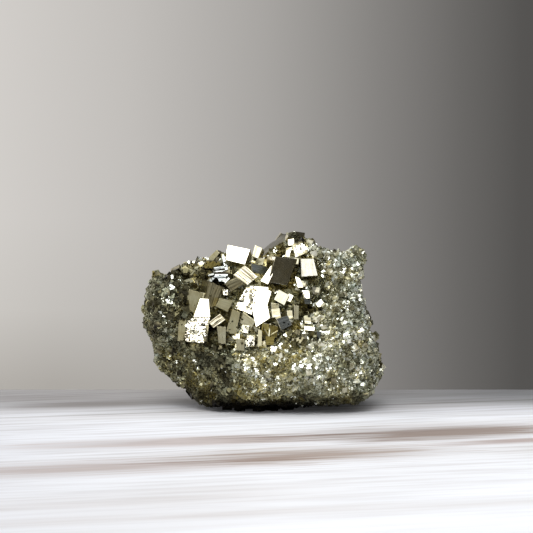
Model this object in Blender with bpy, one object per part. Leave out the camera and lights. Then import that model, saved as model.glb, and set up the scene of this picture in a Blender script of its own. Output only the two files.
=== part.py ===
"""Pyrite cluster: a lump of massive pyrite with a sugary crust and a hollow full of flat-faced cubes.

The cluster stands on the plane z = 0, its wide side along X and its hollow facing -Y. Sizes are given in
millimetres and the scene is in metres.
"""

import math

import bmesh
import bpy
import numpy as np
from mathutils import Matrix, Vector

MM = 0.001
# Half-length of the blocks that the outlines and the broken faces are cut with.
REACH = 60.0
# Cell of the blended mass, and how often its corners are rounded.
CELL = 0.75
ROUNDING = 0.5
ROUNDING_PASSES = 5
# Size and height of the lumps of the crust.
COARSE_LUMP = 4.6
COARSE_LUMP_HEIGHT = 2.9
FINE_LUMP = 2.6
FINE_LUMP_HEIGHT = 1.6
MIDDLE_GREY = 0.5
# Share of the blended mass's faces that its flat facets keep.
KEPT_SHARE = 0.055
# Small crystals of the crust: how many, their sizes, how far apart, and how much of one is sunk.
BACK_STUDS = {"count": 75, "sizes": (1.5, 3.0), "spacing": 3.6, "sunk": 0.22}
FRONT_STUDS = {"count": 60, "sizes": (1.1, 1.8), "spacing": 2.8, "sunk": 0.15}
HOLLOW_STUDS = {"count": 72, "sizes": (1.2, 2.6), "spacing": 1.7, "sunk": 0.10}
STUD_SEED = 21
# Height above the resting plane below which the crust has no studs, and how far back they reach.
STUD_FREE_HEIGHT = 2.5
STUD_BACK_REACH = 19.8
# Gap between a stud and the outline of a large crystal.
STUD_MARGIN = 0.6
# Colour, roughness and metalness of pyrite.
PYRITE_COLOUR = (0.55, 0.49, 0.33, 1.0)
PYRITE_ROUGHNESS = 0.35
PYRITE_METALLIC = 1.0

# Outline of the massive part seen from the front: x to the right, z up.
FRONT_OUTLINE = (
    (-29.6, 36.1), (-28.2, 36.3), (-25.9, 34.8), (-22.5, 38.0), (-20.4, 39.6), (-17.2, 40.7),
    (-13.0, 41.2), (-10.0, 39.6), (-5.0, 38.7), (0.0, 39.5), (6.0, 43.0), (11.0, 44.6),
    (14.9, 43.1), (19.7, 42.0), (23.9, 43.7), (28.3, 41.8), (26.6, 37.7), (26.1, 33.0),
    (27.9, 26.9), (29.1, 20.1), (31.4, 14.4), (32.6, 9.6), (31.7, 6.6), (27.4, 2.8),
    (24.7, 1.5), (9.8, 0.8), (-11.3, 0.8), (-17.8, 1.0), (-19.3, 2.2), (-19.9, 4.3),
    (-24.4, 6.8), (-28.4, 10.2), (-30.0, 11.9), (-29.3, 15.0), (-31.4, 20.6), (-32.3, 28.5),
    (-31.0, 32.8),
)
# Outline seen from above: x to the right, y away from the hollow.
TOP_OUTLINE = (
    (-33.0, -1.0), (-31.5, -7.0), (-27.0, -12.0), (-20.0, -16.0), (-7.5, -20.5), (2.0, -21.3),
    (14.0, -20.3), (23.0, -17.6), (29.5, -12.0), (33.0, -4.0), (32.3, 6.0), (27.0, 14.0),
    (18.0, 19.5), (6.0, 21.3), (-6.0, 20.8), (-16.0, 18.0), (-26.0, 12.0), (-31.5, 5.0),
)
# Outline seen from the right: y away from the hollow, z up.
SIDE_OUTLINE = (
    (-11.0, 0.3), (-16.0, 2.2), (-19.6, 6.0), (-21.3, 10.5), (-20.3, 14.5), (-17.5, 18.0),
    (-14.0, 27.0), (-9.5, 36.5), (-6.5, 43.0), (-2.0, 46.5), (12.0, 47.0), (17.0, 42.5),
    (20.6, 33.0), (21.3, 20.0), (20.0, 8.5), (15.0, 2.6), (9.0, 0.3),
)
# The hollow seen from the front. Its sloping floor passes through this y at this z and moves back
# by this much for each millimetre up, and its mouth is wider by the flare.
HOLLOW_OUTLINE = (
    (-20.8, 31.0), (-23.0, 45.0), (-12.0, 47.0), (-0.3, 46.5), (6.0, 47.0), (12.5, 44.0),
    (15.6, 33.5), (14.4, 25.5), (13.0, 19.5), (-0.3, 17.8), (-7.0, 17.0), (-13.0, 18.4),
    (-19.4, 20.5), (-21.0, 25.0),
)
HOLLOW_FLOOR_Y = -11.6
HOLLOW_FLOOR_Z = 16.5
HOLLOW_SLOPE = 0.62
HOLLOW_FLARE = 2.3
HOLLOW_RIGHT_EDGE = 17.0
HOLLOW_SPAN_X = (-21.0, 15.5)
HOLLOW_SPAN_Z = (17.0, 40.0)
# A face looks to the front when its outward direction has less y than this.
FACING_FRONT = -0.2
FRONT_HALF_Y = -2.0
BACK_HALF_Y = 0.0
ROOT_DEPTH = 1.8

# Rounded lumps grown on the mass: middle and half-sizes.
LUMPS = (
    ("left_lobe", (-25.6, -3.5, 26.0), (7.2, 10.0, 10.0)),
    ("back_dome", (8.0, 10.2, 38.6), (9.0, 7.6, 7.8)),
    ("dome_flank", (4.0, 9.6, 37.6), (6.6, 6.4, 7.0)),
    ("horn", (23.6, -3.0, 38.5), (4.4, 5.0, 4.8)),
    ("right_knob", (28.0, -3.0, 10.0), (4.2, 7.0, 5.6)),
    ("back_knob", (-9.0, 14.2, 25.0), (9.0, 6.6, 8.0)),
    ("back_ridge", (14.0, 13.4, 14.0), (8.0, 7.4, 9.0)),
    ("front_swell", (9.0, -13.5, 9.5), (15.0, 7.6, 8.0)),
    ("foot", (-1.6, -1.5, 3.1), (11.5, 10.0, 4.6)),
)
# Places where the mass is scooped out: middle and half-sizes.
SCOOPS = (
    ("side_bite", (31.0, -6.0, 31.0), (3.6, 7.0, 6.0)),
    ("under_left", (-19.5, 4.0, -1.4), (7.0, 12.0, 3.0)),
    ("under_right", (19.0, 4.0, -1.6), (8.0, 12.0, 3.0)),
    ("crease_notch", (-9.5, -15.0, 18.5), (3.4, 4.0, 3.2)),
    ("back_hollow", (4.0, 22.0, 31.0), (9.0, 6.0, 7.5)),
)
# Flat broken faces: a point on the face and its outward direction.
CHIPS = (
    ("lower_left_face", (-7.4, -18.4, 10.0), (-0.55, -0.82, -0.16)),
    ("lower_left_edge", (-24.5, -8.0, 6.5), (-0.66, -0.45, -0.60)),
    ("right_shoulder", (29.5, -12.5, 16.0), (0.62, -0.76, 0.18)),
    ("back_left_face", (-20.0, 15.5, 22.0), (-0.55, 0.82, 0.14)),
    ("back_right_face", (21.0, 16.5, 26.0), (0.58, 0.76, 0.30)),
    ("back_low_face", (0.0, 19.0, 7.0), (0.05, 0.86, -0.50)),
    ("top_left_face", (-19.0, 6.0, 39.0), (-0.30, 0.35, 0.88)),
    ("top_right_face", (20.0, 5.0, 41.0), (0.22, 0.52, 0.82)),
)

# The cubes and plates of the hollow. Corners of the face that looks out, as seen from the front,
# clockwise from its upper left (x, z); depth of the face's middle (y); degrees that the face is
# turned to the right and tilted up; least thickness behind the face.
CRYSTALS = (
    ("top_cube", ((-9.6, 43.5), (-3.5, 42.3), (-4.9, 38.4), (-10.3, 39.6)), 1.0, -6, 24, 5.5),
    ("top_small_cube", ((-2.2, 43.4), (-0.2, 42.5), (-1.4, 39.8), (-3.0, 40.4)), 3.0, -12, 22, 3.0),
    ("dark_cube", ((3.4, 40.8), (9.1, 39.9), (6.5, 32.9), (1.3, 34.0)), -3.0, 26, 3, 6.5),
    ("dark_cube_plate", ((2.4, 38.6), (3.8, 38.6), (1.3, 33.4), (-0.7, 34.3)), -4.2, -4, 24, 2.5),
    ("dome_face_a", ((7.8, 43.7), (10.3, 44.9), (12.1, 41.6), (8.7, 40.2)), 1.6, 4, 24, 3.5),
    ("dome_face_b", ((6.2, 42.6), (7.9, 42.9), (8.4, 40.2), (5.9, 40.3)), 1.9, -6, 26, 3.0),
    ("dome_chip", ((6.7, 44.6), (8.0, 45.1), (8.1, 43.6), (6.9, 43.3)), 4.0, -4, 28, 2.5),
    ("cream_cube", ((10.1, 40.0), (13.5, 40.0), (14.6, 35.6), (10.3, 35.3)), -2.5, 4, 18, 4.5),
    ("bead_cube", ((8.4, 40.1), (9.6, 40.0), (9.5, 38.5), (8.3, 38.6)), -0.6, -8, 18, 1.8),
    ("shard", ((8.6, 35.3), (9.8, 34.8), (10.7, 32.5), (9.3, 32.4)), -3.2, -8, 26, 2.0),
    ("shard_facet", ((10.0, 34.4), (12.0, 34.1), (11.7, 32.5), (10.5, 32.6)), -3.0, 10, 16, 2.0),
    ("cream_rhomb", ((4.2, 32.0), (7.0, 30.6), (5.6, 28.0), (2.9, 29.4)), -6.5, -10, 20, 4.0),
    ("cream_rhomb_step", ((6.9, 30.9), (8.1, 30.4), (7.3, 28.9), (6.1, 29.2)), -6.2, -6, 25, 2.2),
    ("centre_upper", ((-3.5, 32.9), (1.4, 32.6), (1.0, 26.9), (-4.6, 26.9)), -6.3, -4, 24, 5.0),
    ("centre_lower", ((-3.2, 28.4), (1.2, 27.9), (1.8, 24.8), (-1.9, 22.4)), -8.5, -3, 24, 5.0),
    ("centre_left", ((-4.6, 32.5), (-2.4, 32.5), (-3.0, 25.5), (-7.6, 27.1)), -6.0, -6, 24, 4.5),
    ("centre_right", ((0.5, 32.3), (2.2, 31.4), (1.2, 28.2), (-0.6, 28.7)), -5.7, -2, 25, 4.0),
    ("left_white", ((-16.8, 29.7), (-14.5, 29.6), (-14.0, 25.0), (-18.5, 25.0)), -8.0, -5, 25, 4.5),
    ("long_face", ((-19.6, 32.3), (-16.0, 31.1), (-18.5, 24.5), (-21.9, 25.5)), -7.0, 14, 6, 5.0),
    ("long_face_foot", ((-21.7, 26.2), (-19.7, 25.4), (-20.1, 18.2), (-22.3, 17.7)), -10.5, 10, 4, 4.0),
    ("pitted_block", ((-19.8, 24.9), (-14.2, 24.9), (-14.8, 18.8), (-20.7, 19.7)), -11.0, -2, 23, 4.5),
    ("brown_face", ((-14.3, 34.3), (-10.3, 32.4), (-13.0, 26.3), (-15.7, 28.9)), -5.2, 24, 2, 4.5),
    ("grey_rhomb", ((-10.5, 33.7), (-7.0, 35.1), (-5.1, 33.5), (-8.6, 31.4)), -4.0, 12, 4, 3.5),
    ("striated_cube", ((-5.0, 38.2), (-1.5, 35.3), (-4.2, 33.1), (-8.0, 35.7)), -2.2, -4, 19, 4.0),
    ("streak_a", ((-13.4, 37.4), (-9.0, 37.8), (-9.1, 36.9), (-13.8, 36.5)), -0.9, -8, 26, 2.0),
    ("streak_b", ((-14.9, 36.1), (-8.9, 36.9), (-9.0, 35.9), (-14.0, 35.2)), -1.7, -2, 24, 2.0),
    ("streak_c", ((-14.1, 35.4), (-12.9, 35.2), (-14.6, 33.1), (-15.6, 33.5)), -2.6, -16, 22, 2.0),
    ("streak_d", ((-11.4, 41.1), (-10.3, 41.0), (-9.4, 37.8), (-10.6, 37.8)), 0.2, -10, 26, 2.0),
    ("streak_e", ((-13.4, 35.6), (-8.8, 35.9), (-9.1, 34.9), (-12.9, 34.6)), -2.4, 4, 25, 2.0),
    ("streak_f", ((-11.9, 35.1), (-9.1, 35.1), (-8.8, 33.9), (-11.1, 34.0)), -3.0, 8, 23, 2.0),
    ("olive_facet", ((-16.1, 37.4), (-15.1, 39.4), (-10.8, 39.0), (-12.2, 36.7)), 0.5, 8, -2, 2.5),
    ("rim_crystal", ((-14.9, 39.9), (-12.6, 42.1), (-11.8, 41.3), (-13.8, 38.8)), 2.5, -20, 8, 3.0),
    ("banded_cube", ((-11.4, 25.9), (-10.0, 24.4), (-13.1, 22.3), (-14.5, 23.6)), -10.0, -6, 20, 3.0),
    ("brown_facet", ((-11.5, 29.8), (-8.0, 29.0), (-9.4, 26.1), (-12.6, 27.7)), -6.2, 12, 8, 3.0),
    ("long_tan", ((-8.0, 27.2), (-6.1, 26.1), (-7.3, 20.0), (-9.8, 21.3)), -9.2, 8, 8, 3.5),
    ("tan_facet", ((-5.3, 26.3), (-2.0, 23.9), (-3.2, 21.8), (-6.3, 23.4)), -8.6, -12, 12, 3.5),
    ("white_nib", ((-5.6, 23.0), (-3.5, 22.7), (-4.0, 20.8), (-5.6, 21.1)), -9.8, -4, 25, 2.0),
    ("tan_post", ((-12.2, 22.9), (-9.8, 22.6), (-9.9, 18.1), (-11.7, 18.3)), -11.5, 8, 8, 3.0),
    ("tan_post_right", ((-7.1, 19.8), (-4.9, 19.4), (-4.9, 16.4), (-7.0, 16.6)), -12.8, -6, 10, 3.0),
    ("tiny_cube", ((-7.2, 20.7), (-6.2, 20.7), (-6.2, 19.4), (-7.2, 19.4)), -11.6, -4, 25, 1.2),
    ("cream_block", ((-4.2, 20.4), (-2.1, 20.3), (-2.3, 17.5), (-4.5, 17.5)), -12.2, -6, 20, 2.8),
    ("arc_edge", ((-1.3, 22.0), (-0.3, 21.5), (-0.4, 17.0), (-1.5, 17.3)), -11.4, -18, 22, 2.0),
    ("slate_cube", ((3.5, 24.6), (6.6, 25.5), (7.7, 23.0), (4.7, 21.5)), -10.0, 10, -6, 3.5),
    ("cream_chip", ((2.1, 27.0), (4.4, 27.2), (4.6, 25.2), (2.5, 24.8)), -8.0, -4, 20, 2.2),
    ("green_chip", ((2.1, 28.6), (4.2, 28.3), (4.2, 27.1), (2.2, 27.2)), -7.0, -6, 13, 2.0),
    ("pyramid_left", ((-0.3, 23.7), (1.8, 23.2), (1.6, 19.8), (-0.6, 20.3)), -9.8, -28, 2, 2.6),
    ("pyramid_right", ((1.8, 23.2), (3.9, 22.7), (3.7, 19.5), (1.7, 19.8)), -10.0, 26, 0, 2.6),
    ("white_wedge", ((14.0, 28.3), (15.4, 29.6), (16.6, 27.9), (14.6, 27.5)), -7.0, -4, 25, 2.2),
    ("white_chip", ((10.4, 31.7), (12.3, 31.6), (12.5, 29.6), (10.8, 29.6)), -5.0, -6, 25, 2.4),
    ("blue_chip", ((10.9, 29.7), (12.7, 29.7), (12.5, 28.2), (11.1, 28.3)), -6.0, 8, 12, 2.0),
    ("oval_chip", ((6.3, 26.6), (7.7, 26.7), (7.9, 24.7), (6.5, 24.4)), -8.6, -6, 21, 2.0),
    ("green_post", ((8.2, 28.1), (9.5, 27.9), (9.4, 24.4), (8.2, 24.4)), -8.2, 6, 13, 2.2),
    ("cream_bead", ((10.8, 24.8), (12.7, 24.8), (12.7, 23.2), (11.1, 23.2)), -8.6, -4, 20, 2.0),
    ("crescent", ((10.8, 22.7), (13.7, 22.3), (13.5, 21.4), (11.1, 21.6)), -9.8, -4, 26, 1.8),
    ("blue_cube", ((14.2, 21.4), (16.0, 21.3), (16.1, 18.9), (14.3, 18.8)), -11.4, 8, 13, 2.4),
    ("low_chip", ((1.8, 17.8), (3.7, 17.7), (3.5, 16.2), (2.0, 16.4)), -14.0, -4, 25, 1.8),
    ("left_bit", ((-11.0, 32.1), (-9.4, 32.0), (-9.4, 30.5), (-10.7, 30.6)), -4.8, -8, 22, 2.0),
    ("pink_bit", ((-17.1, 31.3), (-14.9, 30.9), (-15.2, 29.6), (-16.9, 29.9)), -5.2, 4, 15, 2.0),
    ("horn_tip", ((24.6, 43.7), (28.1, 42.1), (27.4, 39.9), (24.0, 40.6)), -2.5, 8, -4, 4.5),
    ("slate_facet", ((-3.3, 38.6), (0.5, 37.7), (0.5, 35.4), (-3.0, 36.0)), 0.3, 6, -6, 3.0),
    ("tan_plate", ((13.1, 32.8), (15.4, 32.4), (15.1, 30.5), (13.3, 30.8)), -5.0, 10, 10, 2.2),
    ("horn_mirror", ((24.2, 39.4), (26.1, 38.9), (26.1, 36.4), (24.5, 36.2)), -6.0, -10, 26, 4.0),
    ("horn_grey", ((18.1, 39.4), (20.2, 39.2), (20.2, 37.3), (18.3, 37.6)), -6.0, 10, 14, 4.0),
    ("horn_olive", ((17.3, 37.7), (19.1, 37.6), (18.9, 35.9), (17.4, 36.0)), -6.6, 14, -4, 4.0),
)

# Small crystals under the mass that it stands on: each is turned a little more than the last.
FOOT_TURN = 0.5
FOOT_SPINDLE = (0.2, 0.1, 1.0)
FOOT_MIDDLE_Z = 0.9
# Middle (x, y) and size of each.
FEET = (
    (-9.6, -6.5, 2.6), (-6.2, -9.2, 2.2), (-1.0, -10.0, 2.4), (3.2, -9.0, 2.0), (6.6, -6.8, 2.6),
    (8.6, 2.0, 2.4), (-10.4, 3.0, 2.4), (1.0, 9.0, 2.6),
)


def clear_scene():
    for obj in list(bpy.data.objects):
        bpy.data.objects.remove(obj, do_unlink=True)


def plain_mesh(name, points, faces, collection):
    """A mesh object from points in millimetres, its faces turned outward."""
    mesh = bpy.data.meshes.new(name)
    mesh.from_pydata([Vector(p) * MM for p in points], [], faces)
    shell = bmesh.new()
    shell.from_mesh(mesh)
    bmesh.ops.recalc_face_normals(shell, faces=shell.faces)
    shell.to_mesh(mesh)
    shell.free()
    obj = bpy.data.objects.new(name, mesh)
    collection.objects.link(obj)
    return obj


def helper(obj):
    """Marks a cutter or guide that isn't part of the cluster itself."""
    obj.hide_render = True
    obj.display_type = "WIRE"
    return obj


def prism_between(name, ring_a, ring_b, collection):
    """A closed solid between two rings with the same number of points."""
    count = len(ring_a)
    faces = [tuple(range(count)), tuple(range(count, 2 * count))]
    faces += [(i, (i + 1) % count, count + (i + 1) % count, count + i) for i in range(count)]
    return plain_mesh(name, [*ring_a, *ring_b], faces, collection)


def hollow_floor_at(z):
    return HOLLOW_FLOOR_Y + HOLLOW_SLOPE * (z - HOLLOW_FLOOR_Z)


def crystal(name, corners, depth, turn, tilt, thickness, collection):
    """A flat-faced crystal: the outer face's corners lie on one plane, the sides run straight back.

    One that stands in the hollow reaches back far enough to be rooted in the floor.
    """
    turn, tilt = math.radians(turn), math.radians(tilt)
    out = Vector((math.sin(turn) * math.cos(tilt), -math.cos(turn) * math.cos(tilt), math.sin(tilt)))
    mid_x = sum(x for x, z in corners) / len(corners)
    mid_z = sum(z for x, z in corners) / len(corners)
    if mid_x < HOLLOW_RIGHT_EDGE:
        thickness = max(thickness, hollow_floor_at(mid_z) - depth + ROOT_DEPTH)
    face = [
        Vector((x, depth - (out.x * (x - mid_x) + out.z * (z - mid_z)) / out.y, z))
        for x, z in corners
    ]
    return prism_between(name, face, [p - out * thickness for p in face], collection)


def ellipsoid(name, middle, half_sizes, collection):
    mesh = bpy.data.meshes.new(name)
    ball = bmesh.new()
    bmesh.ops.create_icosphere(ball, subdivisions=3, radius=MM)
    bmesh.ops.scale(ball, vec=half_sizes, verts=ball.verts)
    bmesh.ops.translate(ball, vec=Vector(middle) * MM, verts=ball.verts)
    ball.to_mesh(mesh)
    ball.free()
    obj = bpy.data.objects.new(name, mesh)
    collection.objects.link(obj)
    return obj


def turned_cube(name, middle, size, axes, collection):
    """A cube on a turned set of axes."""
    half = 0.5 * size
    signs = [(a, b, c) for a in (-1, 1) for b in (-1, 1) for c in (-1, 1)]
    points = [Vector(middle) + axes @ Vector(s) * half for s in signs]
    faces = [(0, 1, 3, 2), (4, 6, 7, 5), (0, 4, 5, 1), (2, 3, 7, 6), (0, 2, 6, 4), (1, 5, 7, 3)]
    return plain_mesh(name, points, faces, collection)


def half_space(name, point, out, collection):
    """A large block beyond a flat face, to cut away what sticks out past it."""
    out = Vector(out).normalized()
    axes = out.to_track_quat("Z", "Y").to_matrix()
    return turned_cube(name, Vector(point) + out * REACH, 2 * REACH, axes, collection)


def boolean(obj, name, operation, collection):
    step = obj.modifiers.new(name, "BOOLEAN")
    step.operation = operation
    step.operand_type = "COLLECTION"
    step.collection = collection
    step.solver = "EXACT"
    return step


def lumpy(obj, name, size, height, pattern):
    """Raises and sinks the surface in rounded lumps of the given size."""
    texture = bpy.data.textures.new(name, "CLOUDS")
    texture.noise_scale = size * MM
    texture.noise_basis = pattern
    step = obj.modifiers.new(name, "DISPLACE")
    step.texture = texture
    step.texture_coords = "LOCAL"
    step.mid_level = MIDDLE_GREY
    step.strength = height * MM


def group(name):
    collection = bpy.data.collections.new(name)
    bpy.context.scene.collection.children.link(collection)
    return collection


def make_mass():
    """The massive body: three outlines crossed, lumps added, hollows and broken faces cut."""
    body = prism_between(
        "pyrite_cluster",
        [(x, -REACH, z) for x, z in FRONT_OUTLINE],
        [(x, REACH, z) for x, z in FRONT_OUTLINE],
        bpy.context.scene.collection,
    )
    plan = group("plan")
    helper(prism_between(
        "seen_from_above",
        [(x, y, -REACH) for x, y in TOP_OUTLINE],
        [(x, y, REACH) for x, y in TOP_OUTLINE],
        plan,
    ))
    boolean(body, "cross_plan", "INTERSECT", plan)
    profile = group("profile")
    helper(prism_between(
        "seen_from_right",
        [(-REACH, y, z) for y, z in SIDE_OUTLINE],
        [(REACH, y, z) for y, z in SIDE_OUTLINE],
        profile,
    ))
    boolean(body, "cross_profile", "INTERSECT", profile)

    cuts, lumps = group("cuts"), group("lumps")
    mid_x = sum(x for x, z in HOLLOW_OUTLINE) / len(HOLLOW_OUTLINE)
    mid_z = sum(z for x, z in HOLLOW_OUTLINE) / len(HOLLOW_OUTLINE)
    floor = [(x, hollow_floor_at(z), z) for x, z in HOLLOW_OUTLINE]
    mouth = [
        (mid_x + (x - mid_x) * HOLLOW_FLARE, -REACH, mid_z + (z - mid_z) * HOLLOW_FLARE)
        for x, z in HOLLOW_OUTLINE
    ]
    helper(prism_between("hollow", floor, mouth, cuts))
    for name, middle, half_sizes in SCOOPS:
        helper(ellipsoid(name, middle, half_sizes, cuts))
    for name, point, out in CHIPS:
        helper(half_space(name, point, out, cuts))
    boolean(body, "cut_hollows", "DIFFERENCE", cuts)

    for name, middle, half_sizes in LUMPS:
        helper(ellipsoid(name, middle, half_sizes, lumps))
    boolean(body, "add_lumps", "UNION", lumps)

    blend = body.modifiers.new("blend", "REMESH")
    blend.mode = "VOXEL"
    blend.voxel_size = CELL * MM
    soften = body.modifiers.new("soften", "SMOOTH")
    soften.factor = ROUNDING
    soften.iterations = ROUNDING_PASSES
    lumpy(body, "coarse_lumps", COARSE_LUMP, COARSE_LUMP_HEIGHT, "BLENDER_ORIGINAL")
    lumpy(body, "fine_lumps", FINE_LUMP, FINE_LUMP_HEIGHT, "VORONOI_F2_F1")
    thin = body.modifiers.new("thin", "DECIMATE")
    thin.ratio = KEPT_SHARE
    return body


def surface_of(obj):
    """Middles and outward directions of the faces as they are now, in millimetres."""
    graph = bpy.context.evaluated_depsgraph_get()
    mesh = obj.evaluated_get(graph).to_mesh()
    count = len(mesh.polygons)
    middles, outs, areas = np.empty(count * 3), np.empty(count * 3), np.empty(count)
    mesh.polygons.foreach_get("center", middles)
    mesh.polygons.foreach_get("normal", outs)
    mesh.polygons.foreach_get("area", areas)
    obj.evaluated_get(graph).to_mesh_clear()
    return middles.reshape(-1, 3) / MM, outs.reshape(-1, 3), areas


def in_hollow(point, out):
    """Whether a point of the crust lies on the hollow's floor and looks out of it."""
    (left, right), (low, high) = HOLLOW_SPAN_X, HOLLOW_SPAN_Z
    return out[1] < FACING_FRONT and left < point[0] < right and low < point[2] < high


def behind_crystal(point):
    """Whether one of the named crystals stands in front of the point."""
    for name, corners, depth, turn, tilt, thickness in CRYSTALS:
        xs, zs = [x for x, z in corners], [z for x, z in corners]
        across = min(xs) - STUD_MARGIN < point[0] < max(xs) + STUD_MARGIN
        up = min(zs) - STUD_MARGIN < point[2] < max(zs) + STUD_MARGIN
        if across and up:
            return True
    return False


def add_studs(name, body_surface, wanted, collection, chosen):
    """Small cubes half sunk in the crust and spaced out, where `chosen` says so."""
    rng = np.random.default_rng(STUD_SEED)
    middles, outs, areas = body_surface
    order = rng.choice(len(areas), size=len(areas), replace=False, p=areas / areas.sum())
    placed = []
    for index in order:
        point, out = middles[index], outs[index]
        if point[2] < STUD_FREE_HEIGHT or point[1] > STUD_BACK_REACH or not chosen(point, out):
            continue
        if placed and np.linalg.norm(np.array(placed) - point, axis=1).min() < wanted["spacing"]:
            continue
        size = rng.uniform(*wanted["sizes"])
        angle = rng.uniform(0, math.tau)
        spindle = Vector(rng.normal(size=3)).normalized()
        turn = Matrix.Rotation(angle, 3, spindle)
        middle = Vector(point) - Vector(out) * wanted["sunk"] * size
        helper(turned_cube(f"{name}_{len(placed)}", middle, size, turn, collection))
        placed.append(point)
        if len(placed) == wanted["count"]:
            break


def give_material(obj):
    material = bpy.data.materials.new("pyrite")
    material.use_nodes = True
    shader = material.node_tree.nodes["Principled BSDF"]
    shader.inputs["Base Color"].default_value = PYRITE_COLOUR
    shader.inputs["Metallic"].default_value = PYRITE_METALLIC
    shader.inputs["Roughness"].default_value = PYRITE_ROUGHNESS
    obj.data.materials.append(material)


def main():
    clear_scene()
    body = make_mass()
    bpy.context.view_layer.update()
    crystals = group("crystals")
    surface = surface_of(body)
    add_studs("hollow_stud", surface, HOLLOW_STUDS, crystals,
              lambda point, out: in_hollow(point, out) and not behind_crystal(point))
    add_studs("front_stud", surface, FRONT_STUDS, crystals,
              lambda point, out: point[1] < FRONT_HALF_Y and not in_hollow(point, out))
    add_studs("back_stud", surface, BACK_STUDS, crystals,
              lambda point, out: point[1] > BACK_HALF_Y)
    for name, corners, depth, turn, tilt, thickness in CRYSTALS:
        helper(crystal(name, corners, depth, turn, tilt, thickness, crystals))
    for number, (x, y, size) in enumerate(FEET):
        axes = Matrix.Rotation(FOOT_TURN * number, 3, Vector(FOOT_SPINDLE).normalized())
        helper(turned_cube(f"foot_{number}", (x, y, FOOT_MIDDLE_Z), size, axes, crystals))
    boolean(body, "grow_crystals", "UNION", crystals)
    ground = group("ground")
    helper(half_space("ground_plane", (0, 0, 0), (0, 0, -1), ground))
    boolean(body, "rest_flat", "DIFFERENCE", ground)
    give_material(body)


main()
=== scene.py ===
"""Looks of the pyrite cluster: massive rock, cubes of the hollow, sugary crust, camera, light and board."""

import math
from collections import namedtuple

import bpy
import numpy as np
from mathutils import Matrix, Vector


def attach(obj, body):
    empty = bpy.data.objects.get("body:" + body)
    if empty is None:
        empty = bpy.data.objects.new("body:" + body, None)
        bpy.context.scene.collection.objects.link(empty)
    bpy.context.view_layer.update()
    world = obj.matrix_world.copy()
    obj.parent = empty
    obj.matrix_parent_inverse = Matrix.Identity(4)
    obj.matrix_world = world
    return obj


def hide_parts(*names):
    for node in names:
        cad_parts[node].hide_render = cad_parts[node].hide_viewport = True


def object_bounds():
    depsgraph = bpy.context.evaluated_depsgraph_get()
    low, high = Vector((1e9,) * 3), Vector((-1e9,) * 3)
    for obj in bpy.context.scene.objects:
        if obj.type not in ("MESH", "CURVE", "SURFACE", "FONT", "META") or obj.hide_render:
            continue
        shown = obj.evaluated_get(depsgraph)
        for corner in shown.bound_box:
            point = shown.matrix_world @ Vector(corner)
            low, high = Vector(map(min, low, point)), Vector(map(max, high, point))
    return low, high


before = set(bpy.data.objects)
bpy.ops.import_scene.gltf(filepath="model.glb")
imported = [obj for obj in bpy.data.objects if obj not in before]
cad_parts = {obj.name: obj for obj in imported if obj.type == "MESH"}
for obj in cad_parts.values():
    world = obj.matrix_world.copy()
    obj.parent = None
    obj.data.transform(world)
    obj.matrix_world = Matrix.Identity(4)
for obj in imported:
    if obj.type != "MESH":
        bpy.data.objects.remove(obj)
CAD_BOX = [list(corner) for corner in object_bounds()]

MM = 0.001
NODE = "pyrite_cluster"
BODY = "root"

# Camera: where it looks, how far off and how high it stands, and its lens.
CAMERA_TARGET = (0.0009, 0.0, 0.0378)
CAMERA_DISTANCE = 0.55
CAMERA_ELEVATION = 4.0
CAMERA_LENS = 138.0
CAMERA_SENSOR = 36.0

# From here to the stage, lengths are in millimetres.
# How far the rock between the grains lies under the CAD surface, so that the grains' tips reach it.
ROCK_SINK = 0.45
# How often, and how far towards its neighbours' mean, a point of the rock is moved to ease it.
RELAX_PASSES = 4
RELAX_SHARE = 0.5
# The rock's tone against the grains', darkened as painted shade where it shows between them, its mean hue,
# and the height up to which it stays as it is.
ROCK_PAINTED_SHADE = 0.85
ROCK_HUE = 0.42
REST_HEIGHT = 0.1
# Fields of smooth noise: height, cell size and seed.
ROCK_LUMPS = ((0.36, 3.2, 2), (0.22, 1.5, 3), (0.12, 0.6, 4))
ROCK_HUES = (0.3, 1.1, 33)
BROAD_TONE = (0.26, 5.0, 31)
FINE_TONE = (0.20, 1.8, 32)
CRACKS = (1.0, 3.6, 40)
CRACK_WANDER = (0.3, 1.2, 41)
FOOT_SHADOW_EDGE = (1.1, 2.2, 35)
HUE_ZONES = (0.30, 3.6, 42)
WEAR_BLOTCHES = (0.8, 1.1, 34)
# Corners, and planes by their normals and offsets, are one where they agree once rounded to so many
# steps of each unit.
MERGE_STEPS = 10000.0
NORMAL_STEPS = 500.0
OFFSET_STEPS = 50.0
# A face is a crystal's where it meets a neighbour this near to a right angle, as the cosine of it.
RIGHT_ANGLE = 0.002

# The hollow seen from the front, as its span to the side and upwards, and its sloping floor. Crystals
# to the left of its right edge reach this far behind the floor.
HOLLOW_X = (-21.0, 15.5)
HOLLOW_Z = (17.0, 40.0)
HOLLOW_FLOOR_Y = -11.6
HOLLOW_FLOOR_Z = 16.5
HOLLOW_SLOPE = 0.62
HOLLOW_RIGHT_EDGE = 17.0
ROOT_DEPTH = 1.8

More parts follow.
